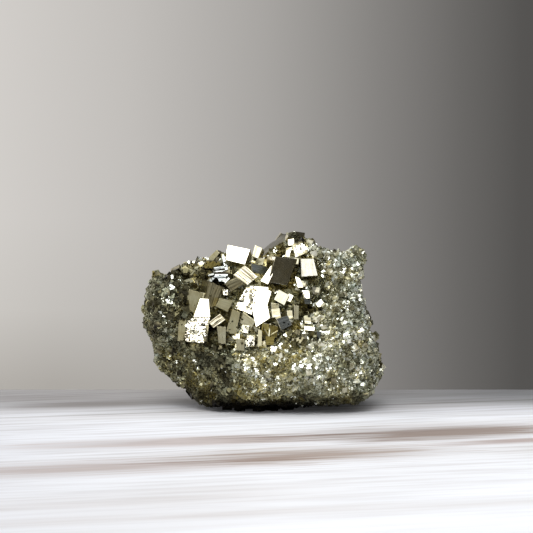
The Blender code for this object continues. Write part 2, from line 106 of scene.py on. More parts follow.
# The named crystals: corners of the face that looks out, as seen from the front, clockwise from its
# upper left (x, z), in tenths of a millimetre; depth of the face's middle (y); degrees that the face is
# turned to the right and tilted up; least thickness; finish; and 0 where its growth lines run along the
# upper edge or 1 where they run down the side.
CRYSTALS = (
    ("top_cube", (-96, 435, -35, 423, -49, 384, -103, 396), 1.0, -6, 24, 5.5, "clean", 0),
    ("top_small_cube", (-22, 434, -2, 425, -14, 398, -30, 404), 3.0, -12, 22, 3.0, "cream", 1),
    ("dark_cube", (34, 408, 91, 399, 65, 329, 13, 340), -3.0, 26, 3, 6.5, "dark", 1),
    ("dark_cube_plate", (24, 386, 38, 386, 13, 334, -7, 343), -4.2, -4, 24, 2.5, "clean", 1),
    ("dome_face_a", (84, 435, 109, 442, 119, 418, 86, 406), 1.5, 3, 25, 3.5, "notched", 1),
    ("dome_face_b", (64, 423, 78, 426, 81, 406, 60, 405), 1.7, -6, 26, 3.0, "notched", 1),
    ("dome_chip", (67, 448, 83, 451, 84, 434, 68, 433), 3.6, -4, 27, 2.5, "clean", 0),
    ("cream_cube", (101, 400, 135, 400, 146, 356, 103, 353), -2.5, 4, 18, 4.5, "pale", 1),
    ("bead_cube", (84, 401, 96, 400, 95, 385, 83, 386), -0.6, -8, 18, 1.8, "cream", 0),
    ("shard", (86, 353, 98, 348, 107, 325, 93, 324), -3.2, -8, 26, 2.0, "clean", 1),
    ("shard_facet", (101, 343, 115, 339, 113, 327, 105, 327), -3.4, 0, 17, 2.0, "cream", 0),
    ("cream_rhomb", (42, 320, 70, 306, 56, 280, 29, 294), -6.5, -10, 20, 4.0, "cream", 1),
    ("cream_rhomb_step", (69, 309, 81, 304, 73, 289, 61, 292), -6.2, -6, 25, 2.2, "clean", 0),
    ("centre_upper", (-35, 329, 14, 326, 10, 269, -46, 269), -6.3, -4, 24, 5.0, "chipped", 0),
    ("centre_lower", (-32, 284, 12, 279, 18, 248, -19, 224), -8.5, -3, 24, 5.0, "clean", 0),
    ("centre_left", (-46, 325, -24, 325, -30, 255, -76, 271), -6.0, -6, 24, 4.5, "chipped", 1),
    ("centre_right", (5, 323, 22, 314, 12, 282, -6, 287), -5.7, -2, 25, 4.0, "clean", 0),
    ("left_white", (-168, 297, -145, 296, -140, 250, -185, 250), -8.0, -5, 25, 4.5, "clean", 0),
    ("long_face", (-196, 323, -160, 311, -185, 245, -219, 255), -7.0, 14, 6, 5.0, "olive", 1),
    ("long_face_foot", (-222, 262, -202, 254, -206, 192, -226, 187), -10.7, 12, 3, 4.0, "olive", 1),
    ("pitted_block", (-205, 249, -139, 249, -146, 183, -214, 190), -11.25, -2, 23, 4.5, "pitted", 0),
    ("brown_face", (-143, 343, -103, 324, -130, 263, -157, 289), -5.2, 24, 2, 4.5, "brown", 1),
    ("grey_rhomb", (-105, 337, -70, 351, -51, 335, -86, 314), -4.35, 14, 3, 3.5, "brown", 0),
    ("striated_cube", (-50, 382, -15, 353, -42, 331, -80, 357), -2.2, -4, 19, 4.0, "lined", 0),
    ("streak_a", (-135, 376, -94, 382, -94, 375, -136, 370), -0.9, -8, 20, 2.0, "blade", 0),
    ("streak_b", (-139, 367, -95, 369, -96, 362, -136, 361), -1.3, -2, 19, 2.0, "blade", 0),
    ("streak_c", (-136, 352, -127, 351, -145, 332, -155, 336), -3.3, -14, 21, 2.0, "blade", 1),
    ("streak_d", (-113, 413, -106, 412, -93, 366, -101, 365), -0.7, -10, 25, 2.0, "blade", 1),
    ("streak_e", (-132, 360, -94, 360, -94, 352, -134, 351), -3.4, -3, 19, 2.0, "blade", 0),
    ("streak_f", (-125, 351, -95, 351, -98, 341, -118, 341), -4.2, -1, 19, 2.0, "blade", 0),
    ("olive_facet", (-161, 374, -151, 394, -108, 390, -122, 367), 0.5, 8, -2, 2.5, "gilt", 0),
    ("rim_crystal", (-149, 399, -126, 421, -118, 413, -138, 388), 2.5, -20, 8, 3.0, "olive", 1),
    ("banded_cube", (-114, 259, -100, 244, -131, 223, -145, 236), -10.0, -6, 20, 3.0, "lined", 1),
    ("brown_facet", (-115, 298, -80, 290, -94, 261, -126, 277), -6.2, 12, 8, 3.0, "olive", 0),
    ("long_tan", (-80, 272, -61, 261, -73, 200, -98, 213), -9.5, 10, 6, 3.5, "olive", 1),
    ("tan_facet", (-53, 263, -20, 239, -32, 218, -63, 234), -8.6, -12, 12, 3.5, "tan", 0),
    ("white_nib", (-56, 230, -35, 227, -40, 208, -56, 211), -9.8, -4, 25, 2.0, "pitted", 1),
    ("tan_post", (-122, 229, -98, 226, -99, 181, -117, 183), -11.75, 5, 11, 3.0, "tan", 1),
    ("tan_post_right", (-71, 198, -49, 194, -49, 164, -70, 166), -12.8, -6, 10, 3.0, "tan", 1),
    ("tiny_cube", (-72, 207, -62, 207, -62, 194, -72, 194), -11.6, -4, 25, 1.2, "clean", 0),
    ("cream_block", (-42, 204, -21, 203, -23, 175, -45, 175), -12.2, -6, 21, 2.8, "pitted", 1),
    ("arc_edge", (-13, 220, -3, 215, -4, 170, -15, 173), -11.4, -18, 22, 2.0, "tan", 1),
    ("slate_cube", (35, 246, 66, 255, 77, 230, 47, 215), -10.0, 10, -6, 3.5, "slate", 0),
    ("cream_chip", (21, 270, 44, 272, 46, 252, 25, 248), -8.0, -4, 18, 2.2, "cream", 0),
    ("green_chip", (21, 286, 42, 283, 42, 271, 22, 272), -7.0, -6, 13, 2.0, "tan", 0),
    ("pyramid_left", (-3, 237, 18, 232, 16, 198, -6, 203), -9.8, -28, 2, 2.6, "gilt", 1),
    ("pyramid_right", (18, 232, 39, 227, 37, 195, 17, 198), -10.0, 26, 0, 2.6, "gilt", 1),
    ("white_wedge", (140, 283, 154, 296, 166, 279, 146, 275), -7.0, -4, 25, 2.2, "clean", 0),
    ("white_chip", (104, 317, 123, 316, 125, 296, 108, 296), -5.0, -6, 25, 2.4, "chipped", 0),
    ("blue_chip", (109, 297, 127, 297, 125, 282, 111, 283), -6.0, 8, 12, 2.0, "slate", 0),
    ("oval_chip", (63, 266, 77, 267, 79, 247, 65, 244), -8.6, -6, 17, 2.0, "cream", 1),
    ("green_post", (82, 281, 95, 279, 94, 244, 82, 244), -8.2, 6, 13, 2.2, "tan", 1),
    ("cream_bead", (108, 248, 127, 248, 127, 232, 111, 232), -8.6, -4, 17, 2.0, "cream", 0),
    ("crescent", (108, 227, 137, 223, 135, 214, 111, 216), -9.8, -4, 26, 1.8, "clean", 0),
    ("blue_cube", (142, 214, 160, 213, 161, 189, 143, 188), -11.4, 8, 13, 2.4, "slate", 1),
    ("low_chip", (18, 178, 37, 177, 35, 162, 20, 164), -14.0, -4, 24, 1.8, "notched", 0),
    ("left_bit", (-110, 321, -94, 320, -94, 305, -107, 306), -4.8, -8, 22, 2.0, "pitted", 0),
    ("pink_bit", (-171, 313, -149, 309, -152, 296, -169, 299), -5.2, 4, 15, 2.0, "tan", 0),
    ("slate_facet", (-33, 386, 5, 377, 5, 354, -30, 360), 0.3, 6, -6, 3.0, "slate", 0),
    ("cream_plate", (137, 327, 152, 323, 149, 311, 138, 313), -5.0, -2, 16, 2.2, "cream", 0),
    ("horn_mirror", (242, 394, 261, 389, 261, 364, 245, 362), -6.0, -10, 26, 4.0, "clean", 0),
    ("horn_grey", (181, 394, 202, 392, 202, 373, 183, 376), -6.0, 10, 14, 4.0, "slate", 0),
    ("horn_olive", (173, 377, 191, 376, 189, 359, 174, 360), -6.6, 14, -4, 4.0, "olive", 0),
    ("streak_g", (-148, 357, -132, 363, -131, 358, -146, 353), -2.7, -12, 22, 2.0, "blade", 0),
    ("streak_h", (-93, 353, -88, 350, -101, 335, -106, 338), -4.8, -6, 21, 2.0, "blade", 1),
    ("streak_i", (-129, 373, -113, 378, -113, 373, -129, 369), -1.3, 10, 17, 2.0, "blade", 0),
    ("ridge_left", (1, 219, 5, 219, 16, 201, 13, 200), -10.2, -10, 9, 1.6, "brown", 1),
    ("ridge_middle", (17, 234, 21, 233, 17, 200, 14, 201), -10.5, -2, 19, 1.6, "cream", 1),
    ("ridge_right", (38, 216, 40, 213, 16, 200, 15, 203), -10.2, 2, 15, 1.6, "olive", 1),
    ("pyramid_foot", (3, 201, 33, 200, 29, 179, 8, 179), -11.6, 6, 13, 2.0, "gilt", 0),
)
TENTHS = 10.0
# How far a visible crystal stands over the CAD one, and the radius of its edges.
PROUD = 0.03
EDGE_RADIUS = 0.07
# Cells along and down a crystal's face and behind it, for faces over this width and for smaller ones.
LARGE_FACE = 2.6
LARGE_CUTS = (24, 4)
SMALL_CUTS = (10, 4)
# Each crystal's strips have seeds of their own, and its growth lines lie this far from the next one's.
FIRST_SEED = 100
SEED_STEP = 7
LINES_APART = 3.0
# A growth strip's width, and how far and how quickly it wanders.
LINE_WIDTH = 0.31
LINE_WANDER = 0.35
LINE_BEND = 0.8
# The share of a face over which wear fades, and how many worn cells go to the metre.
WEAR_FADE = 0.4
WORN_CELLS = 2400.0
# Finishes of the crystals: colour, roughness, height of the growth lines, strength of their stripes, how
# strongly and with what shade single strips are banded, how far the face's strips fall short of its ends,
# share of it that is worn, how much of its width that wear covers, and the finish of the crystal's sides.
Finish = namedtuple("Finish", "colour rough lines stripe bands band_shade ragged wear worn sides")
FINISHES = {name: Finish(*row) for name, row in {
    "clean": ((0.76, 0.73, 0.6), 0.12, 0.004, 0.06, 0.0, (0.5, 0.5, 0.4), 0.02, 0.0, 0.0, "olive"),
    "cream": ((0.68, 0.66, 0.51), 0.18, 0.012, 0.12, 0.1, (0.4, 0.36, 0.24), 0.03, 0.0, 0.0, "brown"),
    "pale": ((0.93, 0.92, 0.82), 0.2, 0.014, 0.22, 0.1, (0.5, 0.48, 0.4), 0.03, 0.0, 0.0, "brown"),
    "lined": ((0.74, 0.7, 0.55), 0.15, 0.035, 0.8, 0.75, (0.2, 0.17, 0.11), 0.07, 0.0, 0.0, "olive"),
    "blade": ((0.58, 0.625, 0.62), 0.16, 0.05, 0.3, 0.6, (0.12, 0.14, 0.14), 0.14, 0.06, 1.4, "slate"),
    "notched": ((0.78, 0.78, 0.7), 0.13, 0.02, 0.1, 0.2, (0.1, 0.12, 0.12), 0.24, 0.2, 1.4, "slate"),
    "chipped": ((0.76, 0.73, 0.61), 0.12, 0.004, 0.05, 0.0, (0.3, 0.3, 0.3), 0.04, 0.62, 0.62, "olive"),
    "pitted": ((0.76, 0.73, 0.62), 0.12, 0.03, 0.1, 0.2, (0.1, 0.1, 0.09), 0.22, 0.55, 1.4, "brown"),
    "olive": ((0.62, 0.585, 0.37), 0.36, 0.008, 0.12, 0.15, (0.4, 0.36, 0.28), 0.03, 0.015, 1.4, "brown"),
    "tan": ((0.58, 0.555, 0.39), 0.28, 0.012, 0.22, 0.3, (0.4, 0.36, 0.28), 0.06, 0.01, 1.4, "brown"),
    "brown": ((0.46, 0.42, 0.26), 0.3, 0.03, 0.6, 0.75, (0.3, 0.27, 0.2), 0.05, 0.02, 1.4, "tan"),
    "slate": ((0.165, 0.182, 0.175), 0.24, 0.012, 0.3, 0.5, (0.3, 0.3, 0.3), 0.08, 0.04, 1.4, "brown"),
    "gilt": ((0.36, 0.3, 0.1), 0.34, 0.02, 0.4, 0.5, (0.25, 0.25, 0.2), 0.12, 0.1, 1.4, "brown"),
    "dark": ((0.29, 0.26, 0.17), 0.2, 0.008, 0.2, 0.3, (0.4, 0.4, 0.4), 0.04, 0.02, 1.4, "clean"),
}.items()}
FINISH_NAMES = tuple(FINISHES)

# The sugary crust: for each stretch of it, how many grains, their least and largest size, how much of one
# is sunk, the shares of tarnished and of mirror-bright ones, their mean hue, from 0 (gold) to 1 (steel),
# and the seed.
Stretch = namedtuple("Stretch", "count small large sunk dark glint hue seed")
CRUST = {name: Stretch(*row) for name, row in {
    "right": (16500, 0.24, 1.15, 0.28, 0.24, 0.05, 0.5, 21),
    "low": (16500, 0.26, 1.25, 0.28, 0.26, 0.05, 0.38, 22),
    "left": (12000, 0.3, 1.2, 0.28, 0.28, 0.03, 0.42, 23),
    "crown": (2500, 0.34, 1.15, 0.3, 0.26, 0.04, 0.46, 26),
    "back": (6700, 0.7, 1.9, 0.3, 0.22, 0.05, 0.5, 24),
    "hollow": (4700, 0.55, 1.9, 0.1, 0.36, 0.09, 0.46, 25),
}.items()}
# Where the stretches meet. The crown is the crust behind the rim that is still seen from the front.
FRONT_DEPTH = 2.0
CROWN_DEPTH = 10.0
CROWN_HEIGHT = 34.0
RIGHT_FROM = 9.0
LEFT_UP_TO = -7.4
LEAST_FACING = -0.1
# The hollow's large grains end at this x: its right part carries the small ones of the right side.
LARGE_GRAINS_END = 8.2
# Grain sizes go by a random number to this power, sides by these shares of the size, and no grain grows
# this near to a named crystal.
SIZE_SKEW = 3.2
PROPORTIONS = (0.5, 1.45)
GRAIN_CLEARANCE = 0.05
# Tones of tarnished, common and bright grains, and the share of mirrors where the crust is dull and how
# much it rises with the tone.
TARNISHED_TONES = (0.2, 0.55)
COMMON_TONES = (0.7, 1.2)
BRIGHT_TONES = (0.85, 1.0)
BRIGHT_HUE = 0.6
HUE_SPREAD = 0.15
GLINT_LEAST = 0.1
GLINT_RISE = 1.4
# No bright grain is larger than this.
BRIGHT_SIZE = 0.80
# Grains grow side by side in clumps of about this size, whose edges wander this far. In some clumps one
# face of every grain looks this way, more or less, and catches the light together.
CLUMP_SIZE = 0.9
CLUMP_WANDER = 0.7
CLUMP_SEEDS = (36, 37, 38)
LIT_SEED = 39
# The share of lit clumps, times the tone, and in the middle of a bright patch of strength 1.
LIT_SHARE = 0.13
LIT_PATCH_SHARE = 0.45
LIT_DIRECTION = (-0.055, -0.896, 0.440)
LIT_SPREAD = 0.10
LIT_SIZE = 0.6

# Round patches of the crust, seen from the front: middle (x, z), reach, and how much darker (tarnish in
# some, painted shade in recesses and creases in others, such as beside the left lobe), how much more of it
# is lit clumps, how much more golden or, below 0, more like steel, or how much finer.
TARNISH_AND_SHADE_PATCHES = (
    (-22.0, 33.8, 4.2, 0.55), (-10.6, 15.0, 4.0, 0.42), (8.9, 45.5, 2.1, 0.85), (-26.0, 27.0, 7.0, 0.25),
    (-15.0, 35.0, 3.5, 0.25), (-13.5, 21.0, 3.0, 0.35), (7.5, 31.5, 2.4, 0.35), (11.0, 26.5, 4.4, 0.3),
    (4.2, 42.2, 3.6, 0.75), (-11.4, 36.0, 3.4, 0.9), (-17.3, 21.8, 3.8, 0.65), (9.9, 46.2, 3.4, 0.9),
    (8.0, 4.0, 5.0, 0.25), (16.0, 5.0, 4.0, 0.15), (26.0, 41.8, 4.0, 0.45), (22.5, 37.5, 6.0, 0.12),
    (-28.8, 22.6, 3.0, 0.45), (-30.6, 27.5, 2.6, 0.45), (7.0, 13.0, 2.6, 0.3), (-9.5, 9.0, 4.0, 0.3),
    (-13.0, 4.0, 5.0, 0.32),
)
BRIGHT_PATCHES = (
    (-16.8, 39.4, 3.0, 1.1), (-25.3, 29.5, 2.6, 0.4), (-24.9, 24.0, 2.0, 0.25), (2.8, 21.0, 2.4, 0.35),
    (12.0, 28.6, 3.0, 0.12), (-4.6, 15.6, 2.2, 0.55), (-3.0, 12.6, 2.4, 0.3), (5.0, 17.0, 2.2, 0.5),
    (10.6, 13.7, 1.6, 0.7), (13.7, 13.5, 1.3, 0.6), (4.1, 9.6, 1.7, 0.55), (-0.2, 7.6, 1.7, 0.6),
    (-4.4, 6.9, 1.4, 0.45), (6.6, 20.2, 2.0, 0.5), (19.2, 18.8, 2.2, 0.45), (22.4, 21.4, 2.4, 0.4),
    (26.0, 22.6, 1.6, 0.3), (24.5, 38.5, 3.0, 0.12), (11.4, 22.6, 3.2, 0.15), (-13.2, 15.9, 1.6, 0.35),
    (-19.8, 14.0, 1.6, 0.25), (-16.5, 12.5, 2.4, 0.22), (-11.0, 13.6, 2.0, 0.18),
)
GOLD_PATCHES = (
    (4.4, 42.0, 2.8, 0.9), (8.8, 22.6, 2.8, 0.7), (14.3, 25.5, 2.4, 0.6), (1.1, 21.8, 2.6, 0.7),
    (11.6, 37.4, 2.0, 0.5), (11.0, 27.4, 3.6, 0.75), (7.9, 32.4, 2.2, 0.7), (5.0, 13.6, 3.4, 0.45),
    (11.8, 9.0, 3.0, 0.4), (-14.0, 37.5, 3.2, 0.4), (0.6, 40.1, 2.0, 0.6), (2.2, 4.6, 3.0, 0.5),
    (-22.4, 31.4, 4.6, -0.8), (-20.6, 25.0, 3.4, -0.6), (-9.4, 15.6, 4.2, -0.9), (-16.5, 14.0, 4.2, -0.8),
)
FINE_PATCHES = (
    (10.9, 45.6, 2.8, 0.65), (-29.5, 33.5, 3.0, 0.4), (-31.5, 24.0, 4.0, 0.35), (-16.8, 40.6, 4.0, 0.4),
    (18.0, 5.0, 10.0, 0.4), (3.0, 3.5, 8.0, 0.35), (-18.0, 9.0, 10.0, 0.35),
)
# A patch is full in this share of its reach and ends behind this y, and a bright one adds this much tone.
PATCH_CORE = 0.3
PATCH_DEPTH = 12.0
PATCH_GAIN = 0.3
# The tone of clean crust, the least that tarnish and painted shade leave it before the foot, and how much
# of it the painted shade near the ground leaves.
CLEAN_TONE = 0.71
LEAST_TONE = 0.13
LOW_SHADE_TONE = 0.10
LOW_SHADE_FADE = (1.5, 9.0)
# How much duller the left third is: its edge, and how that leans with the height over this one.
LEFT_DULLER = 0.37
LEFT_EDGE = (-6.0, -9.0)
LEFT_LEAN = 0.12
LEFT_HEIGHT = 12.0
# How much duller the bench under the hollow is: its height and reach, and its two ends.
BENCH_DULLER = 0.13
BENCH_HEIGHT = 14.5
BENCH_REACH = 4.5
BENCH_LEFT = (-8.0, -6.5)
BENCH_RIGHT = (14.0, 9.0)
# The noise also shifts the tone by this share of itself. Cracks lie where their noise is this near to 0.
NOISE_SHIFT = 0.4
CRACK_EDGE = (0.13, 0.03)
CRACK_DEPTH = 0.45
# The painted shadow in the hollow under the cluster's foot: its span to the side, its top, and how dark it
# is.
FOOT_SHADOW_SPAN = (-15.0, 14.5)
FOOT_SHADOW_FADE = 2.0
FOOT_SHADOW_TOP = (4.4, 2.6)
FOOT_SHADOW_DARK = 0.96
# The dome's bare flank lies over this line, seen from the front: its x and its z.
FLANK_LINE = ((-0.5, 0.8, 2.5, 4.3, 6.0, 6.9), (38.8, 40.5, 42.5, 43.5, 44.4, 45.0))
FLANK_DEPTH = (3.0, 14.0)
FLANK_PASSES = 12
# The horn's tip lies to the right of this x and over this z.
HORN_TIP = (22.5, 39.5)

# Corners of a box, as signs, and its six faces, seen from outside.
BOX_CORNERS = np.array([(a, b, c) for a in (-1, 1) for b in (-1, 1) for c in (-1, 1)], float)
BOX_FACES = np.array([(0, 1, 3, 2), (4, 6, 7, 5), (0, 4, 5, 1), (2, 3, 7, 6), (0, 2, 6, 4), (1, 5, 7, 3)])
# Whole numbers that mix a lattice cell's place into a random-looking one.
MIXERS = (73856093, 19349663, 83492791, 2654435761, 2246822519)
LOW_BITS = 0xFFFF


def lattice_number(cells, seed):
    """A number from 0 to 1 for each lattice cell.

    The cell's three whole numbers, each times a large prime, are mixed by exclusive or with the seed's,
    multiplied once more, folded on themselves, and the low sixteen bits kept.
    """
    mixed = (cells[..., 0] * MIXERS[0]) ^ (cells[..., 1] * MIXERS[1]) ^ (cells[..., 2] * MIXERS[2])
    mixed = mixed ^ (seed * MIXERS[3])
    mixed = (mixed ^ (mixed >> 15)) * MIXERS[4]
    mixed = mixed ^ (mixed >> 13)
    return (mixed & LOW_BITS) / LOW_BITS


def smooth_noise(points, height, size, seed):
    """Smooth random heights over space, up to the given height above and below 0.

    Every corner of a lattice of this cell size has a random number. A point's value is the mean of its
    cell's eight corners, each weighted along each axis by 3t^2 - 2t^3, where t is how near it is.
    """
    scaled = points / size
    base = np.floor(scaled).astype(np.int64)
    near = scaled - base
    near = near * near * (3.0 - 2.0 * near)
    total = np.zeros(len(points))
    for corner in ((BOX_CORNERS + 1) / 2).astype(np.int64):
        weight = np.where(corner == 1, near, 1.0 - near).prod(axis=1)
        total += weight * lattice_number(base + corner, seed)
    return height * (2.0 * total - 1.0)


def smooth_step(low, high, value):
    """0 below low, 1 above high, and 3t^2 - 2t^3 between them."""
    t = np.clip((value - low) / (high - low), 0.0, 1.0)
    return t * t * (3.0 - 2.0 * t)


def within(values, span):
    """Whether each value lies between the span's two ends."""
    return (values > span[0]) & (values < span[1])


def unit(vectors):
    """Each vector divided by its length."""
    return vectors / np.maximum(np.linalg.norm(vectors, axis=-1, keepdims=True), 1e-12)


def mesh_object(name, points, faces, materials, material_of_face=None, smooth=None):
    """An object at the origin from points in millimetres and faces with one number of corners each.

    The faces are drawn flat, but for those marked smooth.
    """
    corners = faces.shape[1]
    mesh = bpy.data.meshes.new(name)
    mesh.vertices.add(len(points))
    mesh.vertices.foreach_set("co", (points * MM).astype(np.float32).ravel())
    mesh.loops.add(faces.size)
    mesh.loops.foreach_set("vertex_index", faces.astype(np.int32).ravel())
    mesh.polygons.add(len(faces))
    mesh.polygons.foreach_set("loop_start", np.arange(0, faces.size, corners, dtype=np.int32))
    for material in materials:
        mesh.materials.append(material)
    if material_of_face is not None:
        mesh.polygons.foreach_set("material_index", material_of_face.astype(np.int32))
    mesh.polygons.foreach_set("use_smooth", np.zeros(len(faces), bool) if smooth is None else smooth)
    mesh.update(calc_edges=True)
    obj = bpy.data.objects.new(name, mesh)
    bpy.context.scene.collection.objects.link(obj)
    return obj


def point_value(obj, name, values):
    """A number for each point of the mesh, which its material reads by this name."""
    attribute = obj.data.attributes.new(name, "FLOAT", "POINT")
    attribute.data.foreach_set("value", values.astype(np.float32))


def patch(points, x, z, reach):
    """1 in the middle of a round patch seen from the front, falling smoothly to 0 at its reach."""
    gap = np.hypot(points[:, 0] - x, points[:, 2] - z)
    return smooth_step(reach, PATCH_CORE * reach, gap) * (points[:, 1] < PATCH_DEPTH)


def patches(points, rows):
    """The sum of the patches, each times its own strength."""
    return sum(strength * patch(points, *place) for *place, strength in rows)


def crust_tone(points):
    """How bright the crust is, from 0 (tarnished or in painted shade) to 1 (clean), at points in millimetres.

    It is a product and sum of smooth steps: the left third and the bench below the hollow are duller, and
    painted shade darkens it towards the ground, to nearly black with painted shadow in the foot. Round
    patches, soft noise and dark cracks, along the lines where a noise is 0, vary it.
    """
    x, y, z = points.T
    tone = CLEAN_TONE - LEFT_DULLER * smooth_step(*LEFT_EDGE, x + LEFT_LEAN * (z - LEFT_HEIGHT))
    bench = smooth_step(BENCH_REACH, 0.0, np.abs(z - BENCH_HEIGHT)) * smooth_step(*BENCH_LEFT, x)
    tone = tone - BENCH_DULLER * (bench * smooth_step(*BENCH_RIGHT, x)) * (y < 0.0)
    # Painted shade: the tone falls off towards the ground.
    tone = tone * (LOW_SHADE_TONE + (1.0 - LOW_SHADE_TONE) * smooth_step(*LOW_SHADE_FADE, z))
    # Darker patches: tarnish, and painted shade in recesses and creases.
    for *place, share in TARNISH_AND_SHADE_PATCHES:
        tone = tone * (1.0 - share * patch(points, *place))
    tone = tone + PATCH_GAIN * patches(points, BRIGHT_PATCHES)
    noise = smooth_noise(points, *BROAD_TONE) + smooth_noise(points, *FINE_TONE)
    crack = np.abs(smooth_noise(points, *CRACKS) + smooth_noise(points, *CRACK_WANDER))
    crack = smooth_step(*CRACK_EDGE, crack)
    tone = (tone * (1.0 + noise) + NOISE_SHIFT * noise) * (1.0 - CRACK_DEPTH * crack)
    # Painted shadow: the foot under the cluster is darkened to nearly black.
    left, right = FOOT_SHADOW_SPAN
    foot = smooth_step(*FOOT_SHADOW_TOP, z + smooth_noise(points, *FOOT_SHADOW_EDGE))
    foot = foot * smooth_step(left, left + FOOT_SHADOW_FADE, x) * smooth_step(right, right - FOOT_SHADOW_FADE, x)
    return np.clip(tone, LEAST_TONE, 1.0) * (1.0 - FOOT_SHADOW_DARK * foot)


def crust_hue(points, hue):
    """A hue shifted by smooth noise from zone to zone, and made more golden, towards 0, in the golden
    patches, and greyer where one is negative."""
    hue = hue + smooth_noise(points, *HUE_ZONES)
    return np.clip(hue * (1.0 - patches(points, GOLD_PATCHES)), 0.0, 1.0)


def on_smooth_flank(points):
    """Whether a point lies on the dome's bare left flank, broken smooth, which carries no grains."""
    x, y, z = points.T
    line_x, line_z = FLANK_LINE
    over = z > np.interp(x, line_x, line_z)
    return over & within(x, (line_x[0], line_x[-1])) & within(y, FLANK_DEPTH)


def on_horn_tip(points):
    """Whether a point is on the upper right corner of the cluster, which is all crust."""
    return (points[:, 0] > HORN_TIP[0]) & (points[:, 2] > HORN_TIP[1])


def hollow_floor_at(z):
    """How far back the hollow's floor lies at a height: a straight slope."""
    return HOLLOW_FLOOR_Y + HOLLOW_SLOPE * (z - HOLLOW_FLOOR_Z)


def in_hollow(points):
    """Whether each point lies in front of the hollow's floor or little behind it."""
    x, y, z = points.T
    return within(x, HOLLOW_X) & within(z, HOLLOW_Z) & (y < hollow_floor_at(z) + ROOT_DEPTH)


def merged_triangles(node):
    """Points in millimetres and triangles of a CAD node, its loose triangles joined where corners agree."""
    mesh = node.data
    mesh.calc_loop_triangles()
    points = np.empty(len(mesh.vertices) * 3, np.float32)
    mesh.vertices.foreach_get("co", points)
    triangles = np.empty(len(mesh.loop_triangles) * 3, np.int32)
    mesh.loop_triangles.foreach_get("vertices", triangles)
    points = points.reshape(-1, 3).astype(float) / MM
    keys = np.round(points * MERGE_STEPS).astype(np.int64)
    _, first, index = np.unique(keys, axis=0, return_index=True, return_inverse=True)
    triangles = index.reshape(-1)[triangles.reshape(-1, 3)]
    whole = (triangles[:, 0] != triangles[:, 1]) & (triangles[:, 1] != triangles[:, 2])
    whole &= triangles[:, 0] != triangles[:, 2]
    return points[first], triangles[whole]


def edges_of(triangles, count):
    """The edges as pairs of points, lowest first, and for each triangle the numbers of its three edges."""
    ends = np.sort(triangles[:, [[0, 1], [1, 2], [2, 0]]].reshape(-1, 2), axis=1).astype(np.int64)
    keys, index = np.unique(ends[:, 0] * count + ends[:, 1], return_inverse=True)
    return np.stack([keys // count, keys % count], axis=1), index.reshape(-1, 3)


def face_normals(points, triangles):
    """The cross product of two sides of each triangle: its normal, as long as twice its area."""
    a, b, c = (points[triangles[:, i]] for i in range(3))
    return np.cross(b - a, c - a)


def crystal_faces(points, triangles):
    """Which triangles belong to a crystal: those in one plane with a triangle that meets another squarely."""
    normals = unit(face_normals(points, triangles))
    _, of_triangle = edges_of(triangles, len(points))
    order = np.argsort(of_triangle.ravel(), kind="stable")
    pairs = (order // 3).reshape(-1, 2)
    square = np.abs((normals[pairs[:, 0]] * normals[pairs[:, 1]]).sum(axis=1)) < RIGHT_ANGLE
    marked = np.zeros(len(triangles), bool)
    marked[pairs[square].ravel()] = True
    offset = (normals * points[triangles[:, 0]]).sum(axis=1)
    plane = np.round(np.column_stack([normals * NORMAL_STEPS, offset * OFFSET_STEPS])).astype(np.int64)
    _, plane_of = np.unique(plane, axis=0, return_inverse=True)
    plane_of = plane_of.reshape(-1)
    return np.isin(plane_of, plane_of[marked])


def quartered(points, triangles):
    """Each triangle cut in four at the middles of its edges."""
    edges, of_triangle = edges_of(triangles, len(points))
    middles = points[edges].mean(axis=1)
    a, b, c = triangles.T
    ab, bc, ca = of_triangle.T + len(points)
    parts = [np.stack(part, axis=1) for part in ((a, ab, ca), (b, bc, ab), (c, ca, bc), (ab, bc, ca))]
    return np.concatenate([points, middles]), np.concatenate(parts)


def point_normals(points, triangles):
    """The sum of the area normals of the triangles round each point, made one long."""
    normals = face_normals(points, triangles)
    total = np.zeros_like(points)
    for axis in range(3):
        for corner in range(3):
            total[:, axis] += np.bincount(triangles[:, corner], normals[:, axis], len(points))
    return unit(total)


def relaxed(points, triangles, free, passes):
    """Free points moved part of the way to the mean of their neighbours, so many times."""
    count = len(points)
    one, two = edges_of(triangles, count)[0].T
    neighbours = np.bincount(one, minlength=count) + np.bincount(two, minlength=count)
    for _ in range(passes):
        means = np.empty_like(points)
        for axis in range(3):
            column = points[:, axis]
            sums = np.bincount(one, column[two], count) + np.bincount(two, column[one], count)
            means[:, axis] = sums / neighbours
        points = points + (means - points) * (free * RELAX_SHARE)[:, None]
    return points


def make_rock():
    """The massive pyrite: the CAD surface cut finer, eased, sunk and roughened, but not its crystals."""
    points, triangles = merged_triangles(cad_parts[NODE])
    flat = crystal_faces(points, triangles) & ~on_horn_tip(points[triangles].mean(axis=1))
    for _ in range(2):
        points, triangles = quartered(points, triangles)
        flat = np.tile(flat, 4)
    free = np.ones(len(points))
    free[triangles[flat].ravel()] = 0.0
    free[points[:, 2] < REST_HEIGHT] = 0.0
    points = relaxed(points, triangles, free * (1.0 - in_hollow(points)), RELAX_PASSES)
    bare = on_smooth_flank(points)
    points = relaxed(points, triangles, free * bare, FLANK_PASSES)
    push = np.full(len(points), -ROCK_SINK)
    for lump in ROCK_LUMPS:
        push += smooth_noise(points, *lump)
    push = np.where(bare, 0.0, push)
    points = points + point_normals(points, triangles) * (push * free)[:, None]
    low, high = (np.array(corner) / MM for corner in CAD_BOX)
    points = np.clip(points, low, high)
    finish = np.where(flat, 1, np.where(bare[triangles].all(axis=1), 2, 0))
    looks = [rock_finish(), facet_finish(), flank_finish()]
    rock = mesh_object("massive_pyrite", points, triangles, looks, finish, finish == 2)
    # Painted shade: the rock that shows between the grains is darkened.
    point_value(rock, "tone", crust_tone(points) * np.where(free > 0.0, ROCK_PAINTED_SHADE, 1.0))
    point_value(rock, "hue", crust_hue(points, ROCK_HUE + smooth_noise(points, *ROCK_HUES)))
    return rock, points, triangles[~flat]


